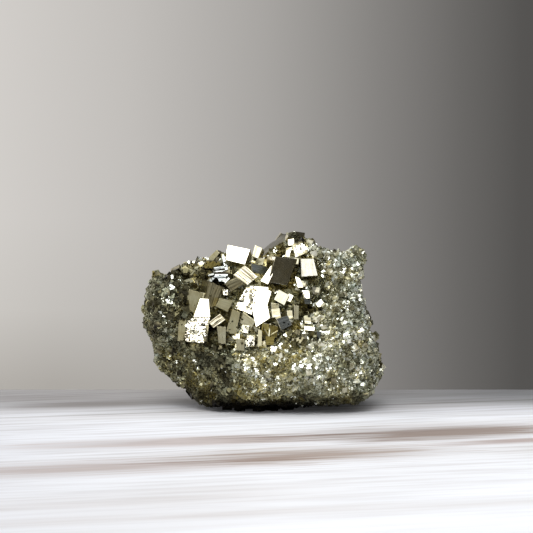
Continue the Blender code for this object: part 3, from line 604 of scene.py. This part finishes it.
def crystal_frame(row):
    """A named crystal's outward direction, the corners of its outer face in space, and its thickness.

    The corners lie on one plane through the face's middle, and the sides run straight back from them.
    """
    corners, depth, turn, tilt, thickness = row[1:6]
    turn, tilt = math.radians(turn), math.radians(tilt)
    out = np.array([math.sin(turn) * math.cos(tilt), -math.cos(turn) * math.cos(tilt), math.sin(tilt)])
    flat = np.array(corners).reshape(4, 2) / TENTHS
    middle = flat.mean(axis=0)
    if middle[0] < HOLLOW_RIGHT_EDGE:
        thickness = max(thickness, hollow_floor_at(middle[1]) - depth + ROOT_DEPTH)
    y = depth - ((flat - middle) @ out[[0, 2]]) / out[1]
    return out, np.column_stack([flat[:, 0], y, flat[:, 1]]), thickness


def lattice_box(along, up, deep):
    """The surface points of a lattice of so many cells each way, and its quads seen from outside.

    Each of the six sides is a grid; points that two sides share are made one.
    """
    grids, quads, start = [], [], 0
    sides = (
        (0, 1, 2, 0, False), (0, 1, 2, deep, True), (0, 2, 1, 0, True),
        (0, 2, 1, up, False), (1, 2, 0, 0, False), (1, 2, 0, along, True),
    )
    cells = (along, up, deep)
    for one, two, held, at, turned in sides:
        i, j = np.meshgrid(np.arange(cells[one] + 1), np.arange(cells[two] + 1), indexing="ij")
        grid = np.empty((i.size, 3), np.int64)
        grid[:, one] = i.ravel()
        grid[:, two] = j.ravel()
        grid[:, held] = at
        number = np.arange(i.size).reshape(i.shape) + start
        quad = np.stack([number[:-1, :-1], number[1:, :-1], number[1:, 1:], number[:-1, 1:]], axis=-1)
        quad = quad.reshape(-1, 4)
        quads.append(quad[:, ::-1] if turned else quad)
        grids.append(grid)
        start += i.size
    unique, index = np.unique(np.concatenate(grids), axis=0, return_inverse=True)
    return unique, index.reshape(-1)[np.concatenate(quads)]


def lattice_lines(cells, length):
    """Places of the lattice's lines on an edge: its ends, and even steps between the two roundings."""
    inner = np.linspace(EDGE_RADIUS, length - EDGE_RADIUS, cells - 1)
    return np.concatenate([[0.0], inner, [length]])


def strip_number(along, across, seed):
    """A random number for each growth strip, and the strips wander a little as they run along."""
    strip = np.floor(across / LINE_WIDTH + LINE_WANDER * np.sin(along * LINE_BEND)).astype(np.int64)
    still = np.zeros_like(strip)
    return lattice_number(np.stack([strip, still, still], axis=-1), seed)


def crystal_mesh(row, number):
    """Points and quads of one named crystal, with its line places, wear, bands and finish.

    A lattice box is laid between the corners and its edges rounded. Its growth strips are each sunk by a
    random share of the lines' height and fall short of the face's ends by random shares of its length.
    The wear is full at the face's left and fades over the part of its width that is worn.
    """
    out, face, thickness = crystal_frame(row)
    finish, run = row[6:]
    look = FINISHES[finish]
    seed = FIRST_SEED + SEED_STEP * number
    middle = face.mean(axis=0)
    face = middle + (face - middle) * (1.0 + 2.0 * PROUD / np.linalg.norm(face - middle, axis=1).mean())
    face = face + out * PROUD
    upper, right, lower, left = (np.linalg.norm(face[i] - face[(i + 1) % 4]) for i in range(4))
    length = np.array([(upper + lower) / 2, (left + right) / 2, thickness + PROUD])
    wide, deep = LARGE_CUTS if length[:2].mean() > LARGE_FACE else SMALL_CUTS
    grid, quads = lattice_box(wide, wide, deep)
    cells = zip((wide, wide, deep), length, grid.T)
    place = np.column_stack([lattice_lines(count, long)[line] for count, long, line in cells])
    inner = np.clip(place, EDGE_RADIUS, length - EDGE_RADIUS)
    gap = place - inner
    far = np.linalg.norm(gap, axis=1, keepdims=True)
    place = inner + gap * np.minimum(1.0, EDGE_RADIUS / np.maximum(far, 1e-9))
    along, across = place[:, run].copy(), place[:, 1 - run].copy()
    near_face = 1.0 - place[:, 2] / length[2]
    height = -look.lines * strip_number(along, across, seed) * near_face
    short = [look.ragged * strip_number(along, across, seed + step) * near_face for step in (1, 2)]
    share = along / length[run]
    place[:, run] = length[run] * (short[0] + share * (1.0 - short[0] - short[1]))
    u, v = place[:, 0:1] / length[0], place[:, 1:2] / length[1]
    top = face[0] * (1 - u) + face[1] * u
    bottom = face[3] * (1 - u) + face[2] * u
    points = top * (1 - v) + bottom * v + out * (height - place[:, 2])[:, None]
    corners = quads.ravel()
    back = place[corners, 2]
    line_place = np.column_stack([along[corners] + back, across[corners] + back]) + LINES_APART * number
    blotches = 1.0 + smooth_noise(points, *WEAR_BLOTCHES)
    wear = look.wear * smooth_step(look.worn, look.worn - WEAR_FADE, u[:, 0]) * blotches
    band = look.bands * strip_number(along, across, seed + 3) ** 2 * near_face
    finishes = np.full(len(quads), FINISH_NAMES.index(look.sides))
    finishes[:wide ** 2] = FINISH_NAMES.index(finish)
    return points, quads, line_place, wear, band, finishes


def make_crystals():
    """The cubes and plates of the hollow, joined in one mesh, each with its own finish."""
    made = [crystal_mesh(row, number) for number, row in enumerate(CRYSTALS)]
    points, quads, lines, wear, bands, finishes = zip(*made)
    starts = np.cumsum([0] + [len(part) for part in points[:-1]])
    quads = np.concatenate([part + start for part, start in zip(quads, starts)])
    materials = [crystal_finish(name, look) for name, look in FINISHES.items()]
    obj = mesh_object("hollow_crystals", np.concatenate(points), quads, materials, np.concatenate(finishes))
    line_places = obj.data.uv_layers.new(name="growth_lines")
    line_places.data.foreach_set("uv", np.concatenate(lines).astype(np.float32).ravel())
    point_value(obj, "wear", np.concatenate(wear))
    point_value(obj, "band", np.concatenate(bands))
    return obj


def inside_crystals(points, margin):
    """Whether each point lies inside a named crystal, or within the margin of it.

    A point is inside when it is between the outer and inner faces and on the inner side of all four
    edges, seen along the crystal's own outward direction.
    """
    inside = np.zeros(len(points), bool)
    for row in CRYSTALS:
        out, face, thickness = crystal_frame(row)
        depth = (points - face.mean(axis=0)) @ out
        inner = within(depth, (-thickness, margin))
        for i in range(4):
            inward = unit(np.cross(face[(i + 1) % 4] - face[i], out))
            inner &= (points - face[i]) @ inward > -margin
        inside |= inner
    return inside


def crust_place(points, normals):
    """The name of the stretch of crust that each point belongs to."""
    x, y, z = points.T
    hollow = within(x, (HOLLOW_X[0], LARGE_GRAINS_END)) & within(z, HOLLOW_Z)
    hollow &= normals[:, 1] < LEAST_FACING
    behind = y > FRONT_DEPTH
    crown = behind & (y < CROWN_DEPTH) & (z > CROWN_HEIGHT)
    places = [hollow, crown, behind, x > RIGHT_FROM, x < LEFT_UP_TO]
    return np.select(places, ["hollow", "crown", "back", "right", "left"], "low")


def random_turns(rng, count):
    """Evenly spread rotation matrices, from random quaternions."""
    w, x, y, z = unit(rng.normal(size=(count, 4))).T
    rows = [
        [1 - 2 * (y * y + z * z), 2 * (x * y - w * z), 2 * (x * z + w * y)],
        [2 * (x * y + w * z), 1 - 2 * (x * x + z * z), 2 * (y * z - w * x)],
        [2 * (x * z - w * y), 2 * (y * z + w * x), 1 - 2 * (x * x + y * y)],
    ]
    return np.array(rows).transpose(2, 0, 1)


def lit_turns(rng, count):
    """Rotation matrices whose first axis is the lit direction, a little off, and that are else random."""
    first = unit(np.array(LIT_DIRECTION) + LIT_SPREAD * rng.normal(size=(count, 3)))
    second = unit(np.cross(first, rng.normal(size=(count, 3))))
    return np.stack([first, second, np.cross(first, second)], axis=2)


def in_lit_clump(spots, tone):
    """Whether each grain grows in a clump that catches the light: a share of them, more where it is cleaner.

    The clumps are the cells of a lattice, looked up at places that smooth noise has moved.
    """
    moved = np.stack([smooth_noise(spots, CLUMP_WANDER, CLUMP_SIZE, seed) for seed in CLUMP_SEEDS], axis=1)
    cells = np.floor((spots + moved) / CLUMP_SIZE).astype(np.int64)
    share = LIT_SHARE * np.maximum(tone - LEAST_TONE, 0.0) + LIT_PATCH_SHARE * patches(spots, BRIGHT_PATCHES)
    return lattice_number(cells, LIT_SEED) < share


def grain_spots(points, triangles, rng, count):
    """Random spots spread evenly by area over the triangles, with the triangles' normals."""
    normals = face_normals(points, triangles)
    area = np.linalg.norm(normals, axis=1)
    pick = rng.choice(len(area), size=count, p=area / area.sum())
    a, b = rng.random((2, count))
    over = a + b > 1.0
    a, b = np.where(over, 1.0 - a, a), np.where(over, 1.0 - b, b)
    corner, right, left = (points[triangles[pick, i]] for i in range(3))
    spots = corner + (right - corner) * a[:, None] + (left - corner) * b[:, None]
    return spots, unit(normals[pick])


def make_crust(place, wanted, points, triangles, finish):
    """One stretch of the crust: thousands of small turned boxes half sunk in the rock, joined in one mesh.

    A grain's size is drawn with many small ones and few large, each of its three sides is that size
    times its own proportion, it is turned at random or as its lit clump is, and it is pushed back in
    where a corner would leave the cluster's box. Bright grains are kept small. One random number tells
    a grain's kind: the lowest are tarnished and the highest are mirrors.
    """
    rng = np.random.default_rng(wanted.seed)
    spots, outs = grain_spots(points, triangles, rng, 2 * wanted.count)
    free = ~(inside_crystals(spots, GRAIN_CLEARANCE) | on_smooth_flank(spots))
    spots, outs = spots[free][:wanted.count], outs[free][:wanted.count]
    count = len(spots)
    tone = crust_tone(spots)
    lit = in_lit_clump(spots, tone)
    spread = (wanted.large - wanted.small) * rng.random(count) ** SIZE_SKEW
    size = wanted.small + spread * np.where(lit, LIT_SIZE, 1.0)
    size = size * (1.0 - patches(spots, FINE_PATCHES))
    sides = size[:, None] * rng.uniform(*PROPORTIONS, (count, 3))
    turns = np.where(lit[:, None, None], lit_turns(rng, count), random_turns(rng, count))
    kind = rng.random(count)
    bright = lit | (kind > 1.0 - wanted.glint * (GLINT_LEAST + GLINT_RISE * tone))
    shrink = np.where(bright, np.minimum(1.0, BRIGHT_SIZE / size), 1.0)
    size, sides = size * shrink, sides * shrink[:, None]
    corners = (BOX_CORNERS[None] * sides[:, None, :] / 2) @ turns.transpose(0, 2, 1)
    corners += (spots - outs * (size * wanted.sunk)[:, None])[:, None, :]
    low, high = (np.array(corner) / MM for corner in CAD_BOX)
    corners += np.maximum(low - corners.min(axis=1), 0.0)[:, None, :]
    corners -= np.maximum(corners.max(axis=1) - high, 0.0)[:, None, :]
    faces = (BOX_FACES[None] + 8 * np.arange(count)[:, None, None]).reshape(-1, 4)
    obj = mesh_object("crust_" + place, corners.reshape(-1, 3), faces, [finish])
    tarnished, common = rng.uniform(*TARNISHED_TONES, count), rng.uniform(*COMMON_TONES, count)
    tone = tone * np.where(kind < wanted.dark, tarnished, common)
    tone = np.where(bright, rng.uniform(*BRIGHT_TONES, count), tone)
    hue = crust_hue(spots, np.clip(rng.normal(wanted.hue, HUE_SPREAD, count), 0.0, 1.0))
    point_value(obj, "tone", np.repeat(np.clip(tone, 0.0, 1.0), 8))
    point_value(obj, "hue", np.repeat(np.where(bright, BRIGHT_HUE, hue), 8))
    return obj


class Nodes:
    """Short calls for the nodes of a material or a world.

    An input is given as a number, a vector, a colour or the output that feeds it.
    """

    def __init__(self, owner, last="Principled BSDF"):
        owner.use_nodes = True
        self.owner = owner
        self.tree = owner.node_tree
        self.last = self.tree.nodes[last]

    def feed(self, node, inputs):
        """Links outputs to the inputs of these names, and sets values on the others."""
        for name, value in inputs.items():
            socket = node.inputs[name]
            if isinstance(value, bpy.types.NodeSocket):
                self.tree.links.new(value, socket)
            else:
                socket.default_value = (*value, 1.0) if socket.type == "RGBA" else value

    def make(self, kind, inputs, **settings):
        """A new node with these settings and inputs."""
        node = self.tree.nodes.new("ShaderNode" + kind)
        for name, value in settings.items():
            setattr(node, name, value)
        self.feed(node, inputs)
        return node

    def finish(self, inputs):
        """Feeds the last node, and gives back the material or world."""
        self.feed(self.last, inputs)
        return self.owner

    def metal(self, colour, rough, normal):
        """The finished material of a metal."""
        return self.finish({"Metallic": 1.0, "Base Color": colour, "Roughness": rough, "Normal": normal})

    def math(self, operation, *values):
        """A sum, product or other operation on numbers."""
        return self.make("Math", dict(enumerate(values)), operation=operation).outputs["Value"]

    def vector(self, operation, *values, output="Vector"):
        """The same on vectors or colours."""
        return self.make("VectorMath", dict(enumerate(values)), operation=operation).outputs[output]

    def parts(self, vector):
        """The x, y and z of a vector."""
        return self.make("SeparateXYZ", {"Vector": vector}).outputs

    def ramp(self, source, stops):
        """A colour ramp from (place, colour) pairs, where a lone number is a grey."""
        node = self.make("ValToRGB", {"Fac": source})
        elements = node.color_ramp.elements
        while len(elements) < len(stops):
            elements.new(0.5)
        for element, (place, colour) in zip(elements, stops):
            element.position = place
            element.color = (*np.broadcast_to(colour, 3), 1.0)
        return node.outputs["Color"]

    def noise(self, vector, scale, detail):
        """Soft noise, about 0.5, with so many cells to the unit."""
        return self.make("TexNoise", {"Vector": vector, "Scale": scale, "Detail": detail}).outputs["Fac"]

    def cells(self, vector, scale):
        """A random colour for each small cell."""
        return self.make("TexVoronoi", {"Vector": vector, "Scale": scale}).outputs["Color"]

    def span(self, source, low, high, to_low=0.0, to_high=1.0):
        """Maps a number from one span to another, and stops at the ends."""
        ends = {"From Min": low, "From Max": high, "To Min": to_low, "To Max": to_high}
        return self.make("MapRange", {"Value": source, **ends}).outputs["Result"]

    def streaks(self, vector, stretch, detail):
        """Noise stretched by so many cells along each axis."""
        return self.noise(self.mapped(vector, Scale=stretch), 1.0, detail)

    def mapped(self, vector, **change):
        """The vector with the mapping's Rotation or Scale."""
        return self.make("Mapping", {"Vector": vector, **change}).outputs["Vector"]

    def mix(self, share, one, two, blend="MIX"):
        """The first colour, and the second by the share."""
        return self.make("Mix", {0: share, 6: one, 7: two}, data_type="RGBA", blend_type=blend).outputs[2]

    def multiply(self, one, two, strength=1.0):
        """The first colour darkened by the second, as strongly as given."""
        return self.mix(strength, one, two, "MULTIPLY")

    def bump(self, height, distance, strength, **normal):
        """The surface's direction, or the Normal given, tilted by the slope of a height."""
        inputs = {"Height": height, "Distance": distance, "Strength": strength, **normal}
        return self.make("Bump", inputs).outputs["Normal"]

    def own_place(self):
        """The place in the piece's own coordinates, in metres."""
        return self.make("TexCoord", {}).outputs["Object"]

    def value(self, name):
        """The number that point_value has given each point."""
        return self.make("Attribute", {}, attribute_name=name).outputs["Fac"]


def material_nodes(name):
    """The nodes of a new material of this name."""
    return Nodes(bpy.data.materials.new(name))


# Colours of clean pyrite, of nearly black pyrite (tarnished, and in the foot's painted shadow), and of no
# change.
CLEAN = (0.90, 0.89, 0.80)
BLACK_TARNISH_OR_SHADOW = (0.006, 0.005, 0.004)
WHITE = (1.0, 1.0, 1.0)
# A dull colour grows deeper and warmer by these shares before it blackens.
DEEPENED = (0.3, 0.282, 0.255)
# What a grain's colour is multiplied by, from gold to steel, and how strongly.
HUE_TINTS = (
    (0.0, (1.0, 0.85, 0.39)), (0.25, (1.0, 0.94, 0.70)), (0.5, (1.0, 1.0, 0.95)), (0.85, (0.90, 0.97, 1.0)),
)
TINT_STRENGTH = 0.9
# Noise scales are in cells to the metre, and bumps in metres.
GRAIN_STAINS = 1100.0
GRAIN_PITS = 3800.0
GRAIN_BUMP = 0.00006
FACET_CELLS = 3000.0
CUBE_STAINS = 500.0
CUBE_PITS = 2600.0
CUBE_BUMP = 0.00005
FACE_STAINS = 420.0
LINE_BUMP = 0.00004
LINE_STRETCH = (0.10, 3.2, 1.0)
BREAK_TURN = math.radians(38.0)
BREAK_STRETCH = (120.0, 120.0, 1500.0)
BREAK_BUMP = 0.00005


def turned_facets(nodes, place, strength):
    """Turns the surface's direction by its own random amount in each small cell."""
    cells, half = nodes.cells(place, FACET_CELLS), np.full(3, strength)
    turn = nodes.vector("MULTIPLY_ADD", cells, 2.0 * half, -half)
    normal = nodes.make("NewGeometry", {}).outputs["Normal"]
    return nodes.vector("NORMALIZE", nodes.vector("ADD", normal, turn))


def granular_finish(name, bright, dull, smooth, rough, facets=0.08):
    """Granular pyrite: its tone runs from brown tarnish and painted shade to clean, and the higher the
    glossier.
    """
    nodes = material_nodes(name)
    place = nodes.own_place()
    stains = nodes.span(nodes.noise(place, GRAIN_STAINS, 3.0), 0.35, 0.65, 0.75, 1.15)
    tone = nodes.math("MULTIPLY", nodes.value("tone"), stains)
    middle = tuple(0.5 * (a + b) for a, b in zip(bright, dull))
    deep = tuple(part * share for part, share in zip(dull, DEEPENED))
    stops = ((0.0, BLACK_TARNISH_OR_SHADOW), (0.12, deep), (0.3, dull), (0.6, middle), (0.85, bright), (1.0, CLEAN))
    colour = nodes.multiply(nodes.ramp(tone, stops), nodes.ramp(nodes.value("hue"), HUE_TINTS), TINT_STRENGTH)
    normal = turned_facets(nodes, place, facets)
    bump = nodes.bump(nodes.noise(place, GRAIN_PITS, 4.0), GRAIN_BUMP, 0.4, Normal=normal)
    return nodes.metal(colour, nodes.span(tone, 0.15, 0.95, rough, smooth), bump)


def rock_finish():
    """The massive pyrite between the grains, duller than they are."""
    return granular_finish("granular_pyrite", (0.66, 0.66, 0.53), (0.28, 0.27, 0.18), 0.2, 0.5, 0.8)


def crust_finish(place):
    """The grains of one stretch: those of the hollow are a little glossier and browner."""
    if place == "hollow":
        return granular_finish("sugary_hollow", (0.71, 0.72, 0.66), (0.28, 0.26, 0.15), 0.12, 0.42)
    return granular_finish("sugary_" + place, (0.705, 0.72, 0.66), (0.302, 0.296, 0.198), 0.12, 0.50)


def flank_finish():
    """Pyrite broken smooth: olive grey, with faint lines along the break."""
    nodes = material_nodes("smooth_broken_pyrite")
    turned = nodes.mapped(nodes.own_place(), Rotation=(0.0, BREAK_TURN, 0.0))
    lines = nodes.streaks(turned, BREAK_STRETCH, 3.0)
    colour = nodes.ramp(lines, ((0.35, (0.085, 0.080, 0.060)), (0.60, (0.155, 0.150, 0.118))))
    return nodes.metal(colour, 0.36, nodes.bump(lines, BREAK_BUMP, 0.4))


def facet_finish():
    """The small cubes of the crust: clean pyrite with soft stains and fine pits."""
    nodes = material_nodes("small_cube_pyrite")
    place = nodes.own_place()
    stains = nodes.span(nodes.noise(place, CUBE_STAINS, 2.0), 0.3, 0.7, 0.6, 1.2)
    tone = nodes.math("MULTIPLY", nodes.value("tone"), stains)
    dark = ((0.0, (0.008, 0.007, 0.005)), (0.17, (0.025, 0.022, 0.014)))
    clean = ((0.38, (0.30, 0.27, 0.16)), (0.9, (0.72, 0.71, 0.60)))
    bump = nodes.bump(nodes.noise(place, CUBE_PITS, 3.0), CUBE_BUMP, 0.25)
    return nodes.metal(nodes.ramp(tone, dark + clean), nodes.span(tone, 0.2, 0.9, 0.36, 0.16), bump)


def crystal_finish(name, look):
    """A crystal face: soft stains, fine growth lines along the face, bands, and dull small cells where worn.

    A cell is worn where its own random number is below the wear, and another one sets how dull it is.
    """
    nodes = material_nodes(name + "_pyrite")
    place = nodes.own_place()
    lines = nodes.make("UVMap", {}, uv_map="growth_lines").outputs["UV"]
    strips = nodes.streaks(lines, LINE_STRETCH, 3.0)
    deep = tuple(part * share for part, share in zip(look.colour, (0.84, 0.79, 0.68)))
    stained = nodes.ramp(nodes.noise(place, FACE_STAINS, 3.0), ((0.38, look.colour), (0.72, deep)))
    stripes = nodes.ramp(strips, ((0.42, (0.20, 0.175, 0.12)), (0.50, WHITE)))
    colour = nodes.multiply(stained, stripes, look.stripe)
    colour = nodes.multiply(colour, nodes.mix(nodes.value("band"), WHITE, look.band_shade))
    random = nodes.make("SeparateColor", {"Color": nodes.cells(place, WORN_CELLS)}).outputs
    worn = nodes.math("LESS_THAN", random["Green"], nodes.value("wear"))
    dulls = ((0.15, (0.02, 0.02, 0.018)), (0.6, (0.10, 0.10, 0.09)), (0.95, (0.24, 0.24, 0.21)))
    colour = nodes.mix(worn, colour, nodes.multiply(colour, nodes.ramp(random["Red"], dulls)))
    rough = nodes.span(strips, 0.3, 0.7, look.rough * 1.2, look.rough * 0.85)
    return nodes.metal(colour, rough, nodes.bump(strips, LINE_BUMP, 0.3))


# The stage: metres from here on.
BOARD_SIDES = (-0.45, 0.45)
BOARD_FRONT = -0.60
BOARD_BACK = 0.034
BOARD_THICKNESS = 0.02
GROUND_HEIGHT = -0.30
GROUND_REACH = 3.0
WALL_Y = 0.9
WALL_SIDES = (-1.4, 1.4)
WALL_HEIGHTS = (-0.31, 1.3)
# The wall's painted light, which it glows with: across this span, at these shares of it from left to right;
# its warm tint; how it falls off downwards, as painted shade, over this span of heights; and the span over
# which that fades to the right.
WALL_SPAN = (-0.80, 0.30)
WALL_PAINTED_LIGHT = (
    (0.0, 1.7), (0.40, 0.80), (0.563, 0.605), (0.64, 0.518), (0.727, 0.374), (0.80, 0.225), (0.853, 0.137),
    (0.892, 0.088), (1.0, 0.07),
)
WALL_TINT = (1.04, 1.0, 0.955)
WALL_LOW_SPAN = (-0.11, 0.01)
WALL_LOW_SHADE = ((0.0, (0.70, 0.69, 0.67)), (0.45, (0.92, 0.92, 0.91)), (1.0, WHITE))
WALL_LOW_SIDE = (-0.15, 0.08)
# The board's grain: how far it is turned from the front, in degrees, and its stretched noises. Along and
# across it lie a joint of two planks, so wide, and the places where the whitewash is worn: middle,
# half-sizes and shade.
BOARD_GRAIN = 14.0
BROAD_GRAIN = (7.0, 45.0, 1.0)
FINE_GRAIN = (26.0, 380.0, 1.0)
BOARD_JOINT = (-0.0095, -0.0015)
WORN_PLACES = (
    ((0.030, -0.0560), (0.048, 0.0157), (0.37, 0.295, 0.25)),
    ((-0.028, -0.0560), (0.046, 0.00872), (0.66, 0.58, 0.54)),
    ((-0.060, -0.0880), (0.056, 0.01163), (0.64, 0.56, 0.52)),
    ((-0.010, -0.0812), (0.046, 0.01337), (0.49, 0.40, 0.34)),
    ((0.046, -0.0745), (0.034, 0.00523), (0.58, 0.48, 0.44)),
    ((-0.046, 0.0135), (0.030, 0.00814), (0.56, 0.53, 0.50)),
)
# The painted shade of the board's far strip, over this span of depth, at its left and at its right, and where
# the one passes into the other; and the painted shade of its left side, over this span.
FAR_SPAN = (-0.030, BOARD_BACK)
FAR_SHADE_LEFT = ((0.15, WHITE), (0.48, (0.60, 0.59, 0.585)), (0.66, (0.43, 0.41, 0.39)), (1.0, (0.45, 0.43, 0.41)))
FAR_SHADE_RIGHT = ((0.10, WHITE), (0.38, (0.78, 0.78, 0.80)), (0.60, 0.34), (0.85, 0.19))
FAR_CHANGE = (-0.03, 0.07)
SIDE_SPAN = (-0.065, 0.005)
SIDE_PAINTED_SHADE = ((0.0, (0.83, 0.83, 0.84)), (1.0, WHITE))
# Lights of the room: where each comes from, seen from the cluster, as degrees to the right of the camera
# and up, and its brightness. The key's goes by the angle from its middle, in degrees, and the others' by
# the share of the way from the opposite side.
KEY_AIM = (-8.0, 50.0)
KEY_FALL = ((0.0, 5.5), (12.0, 4.6), (16.0, 1.5), (22.0, 0.85), (34.0, 0.30), (52.0, 0.04), (75.0, 0.0))
ROOM_LIGHTS = (
    ((0.0, 90.0), ((0.0, 0.25), (0.45, 0.10), (0.53, 0.12), (0.75, 0.30), (0.95, 0.85))),
    ((-100.0, 15.0), ((0.45, 0.0), (0.75, 0.22), (0.95, 0.75))),
)


def place_camera():
    """Stands back from its target along the line that the elevation gives."""
    data = bpy.data.cameras.new("camera")
    data.lens = CAMERA_LENS
    data.sensor_width = CAMERA_SENSOR
    camera = bpy.data.objects.new("camera", data)
    bpy.context.scene.collection.objects.link(camera)
    tilt = math.radians(CAMERA_ELEVATION)
    back = Vector((0.0, -math.cos(tilt), math.sin(tilt)))
    camera.location = Vector(CAMERA_TARGET) + back * CAMERA_DISTANCE
    camera.rotation_euler = back.to_track_quat("Z", "Y").to_euler()
    bpy.context.scene.camera = camera


def box_object(name, low, high, material):
    """A plain box between two corners given in metres."""
    low, high = np.array(low) / MM, np.array(high) / MM
    points = low + (BOX_CORNERS + 1) / 2 * (high - low)
    obj = mesh_object(name, points, BOX_FACES, [material])
    return obj


def board_finish():
    """Whitewashed wood: bluish white, streaked along its grain, worn to brownish grey in long places, and
    glowing faintly in its own colour as painted light.

    A worn place is an oval whose edge two noises shift. The far strip is darkened with painted shade, more so
    at the right, its left side a little too, and a thin dark joint between two planks runs along the grain.
    """
    nodes = material_nodes("whitewashed_board")
    place = nodes.own_place()
    x, y, _ = nodes.parts(place)
    grain = nodes.mapped(place, Rotation=(0.0, 0.0, math.radians(-BOARD_GRAIN)))
    broad, fine = nodes.streaks(grain, BROAD_GRAIN, 3.0), nodes.streaks(grain, FINE_GRAIN, 5.0)
    wash = ((0.42, (0.86, 0.88, 0.925)), (0.56, (0.80, 0.81, 0.84)), (0.70, (0.71, 0.70, 0.71)))
    scratches = nodes.ramp(fine, ((0.42, WHITE), (0.66, (0.66, 0.63, 0.61))))
    near = nodes.ramp(nodes.span(y, -0.17, -0.08), ((0.0, 0.15), (1.0, 0.6)))
    colour = nodes.multiply(nodes.ramp(broad, wash), nodes.mix(near, WHITE, scratches))
    shifts = nodes.span(broad, 0.3, 0.7, -0.35, 0.35), nodes.span(fine, 0.3, 0.7, -0.45, 0.45)
    edge = nodes.math("ADD", *shifts)
    for (along, across), (half_along, half_across), shade in WORN_PLACES:
        oval = nodes.mapped(grain, Scale=(1.0 / half_along, 1.0 / half_across, 0.0))
        middle = (along / half_along, across / half_across, 0.0)
        gap = nodes.vector("DISTANCE", oval, middle, output="Value")
        worn = nodes.ramp(nodes.math("ADD", gap, edge), ((0.22, shade), (1.0, WHITE)))
        colour = nodes.multiply(colour, worn)
    joint = nodes.span(nodes.parts(grain)["Y"], *BOARD_JOINT)
    joint = nodes.ramp(joint, ((0.30, WHITE), (0.50, (0.52, 0.49, 0.47)), (0.62, WHITE)))
    colour = nodes.multiply(colour, joint, 0.8)
    # Painted shade: the far strip darkens towards the back edge, more at the right.
    far = nodes.span(y, *FAR_SPAN)
    far = nodes.mix(nodes.span(x, *FAR_CHANGE), nodes.ramp(far, FAR_SHADE_LEFT), nodes.ramp(far, FAR_SHADE_RIGHT))
    colour = nodes.multiply(colour, far)
    # Painted shade on the board's left side.
    colour = nodes.multiply(colour, nodes.ramp(nodes.span(x, *SIDE_SPAN), SIDE_PAINTED_SHADE))
    # Painted light: the board glows faintly in its own colour.
    return nodes.finish({
        "Base Color": colour, "Emission Color": colour, "Emission Strength": 0.04, "Roughness": 0.75,
    })


def wall_finish():
    """Plain wall whose painted light glows from pale grey at the left to dark grey at the right, with painted
    shade low at the left.
    """
    nodes = material_nodes("grey_wall")
    x, _, z = nodes.parts(nodes.own_place())
    stops = [(at, tuple(value * part for part in WALL_TINT)) for at, value in WALL_PAINTED_LIGHT]
    glow = nodes.ramp(nodes.span(x, *WALL_SPAN), stops)
    # Painted shade low at the left of the wall.
    low = nodes.ramp(nodes.span(z, *WALL_LOW_SPAN), WALL_LOW_SHADE)
    glow = nodes.mix(nodes.span(x, *WALL_LOW_SIDE, 1.0, 0.0), glow, nodes.multiply(glow, low))
    return nodes.finish({
        "Base Color": (0.0, 0.0, 0.0), "Roughness": 1.0, "Specular IOR Level": 0.0,
        "Emission Color": glow, "Emission Strength": 1.0,
    })


def plain_finish(name, colour):
    """One even colour, without gloss."""
    return material_nodes(name).finish({"Base Color": colour, "Roughness": 0.9})


def make_stage():
    """The board that the cluster stands on, the ground below its back edge, and the wall."""
    left, right = BOARD_SIDES
    box_object("board", (left, BOARD_FRONT, -BOARD_THICKNESS), (right, BOARD_BACK, 0.0), board_finish())
    low = (-GROUND_REACH, -GROUND_REACH, GROUND_HEIGHT - BOARD_THICKNESS)
    high = (GROUND_REACH, GROUND_REACH, GROUND_HEIGHT)
    box_object("ground", low, high, plain_finish("pale_ground", (0.6, 0.59, 0.58)))
    (left, right), (bottom, top) = WALL_SIDES, WALL_HEIGHTS
    box_object("wall", (left, WALL_Y, bottom), (right, WALL_Y + BOARD_THICKNESS, top), wall_finish())


def light_world():
    """Soft studio light: a bright round softbox over the camera in a grey room that is paler at the left.

    The room's brightness is a ramp of height plus a ramp of how far to the left, and the softbox is a
    ramp of the angle from its middle.
    """
    world = bpy.data.worlds.new("studio")
    bpy.context.scene.world = world
    nodes = Nodes(world, "Background")
    direction = nodes.make("TexCoord", {}).outputs["Generated"]

    def light(aim, stops):
        """A ramp from 0 where the room's direction is opposite to this one to 1 where they agree."""
        azimuth, up = (math.radians(angle) for angle in aim)
        toward = (math.sin(azimuth) * math.cos(up), -math.cos(azimuth) * math.cos(up), math.sin(up))
        agreement = nodes.vector("DOT_PRODUCT", direction, toward, output="Value")
        return nodes.ramp(nodes.math("MULTIPLY_ADD", agreement, 0.5, 0.5), stops)

    key = [(0.5 + 0.5 * math.cos(math.radians(angle)), value) for angle, value in reversed(KEY_FALL)]
    total = light(KEY_AIM, key)
    for aim, stops in ROOM_LIGHTS:
        total = nodes.vector("ADD", total, light(aim, stops))
    nodes.finish({"Color": total})


def show_as_seen():
    """Colours are shown as they are, without a film curve."""
    bpy.context.scene.view_settings.view_transform = "Standard"


def main():
    place_camera()
    show_as_seen()
    light_world()
    make_stage()
    rock, points, triangles = make_rock()
    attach(rock, BODY)
    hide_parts(NODE)
    crystals = make_crystals()
    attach(crystals, BODY)
    middles = points[triangles].mean(axis=1)
    places = crust_place(middles, unit(face_normals(points, triangles)))
    for place, wanted in CRUST.items():
        crust = make_crust(place, wanted, points, triangles[places == place], crust_finish(place))
        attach(crust, BODY)


main()
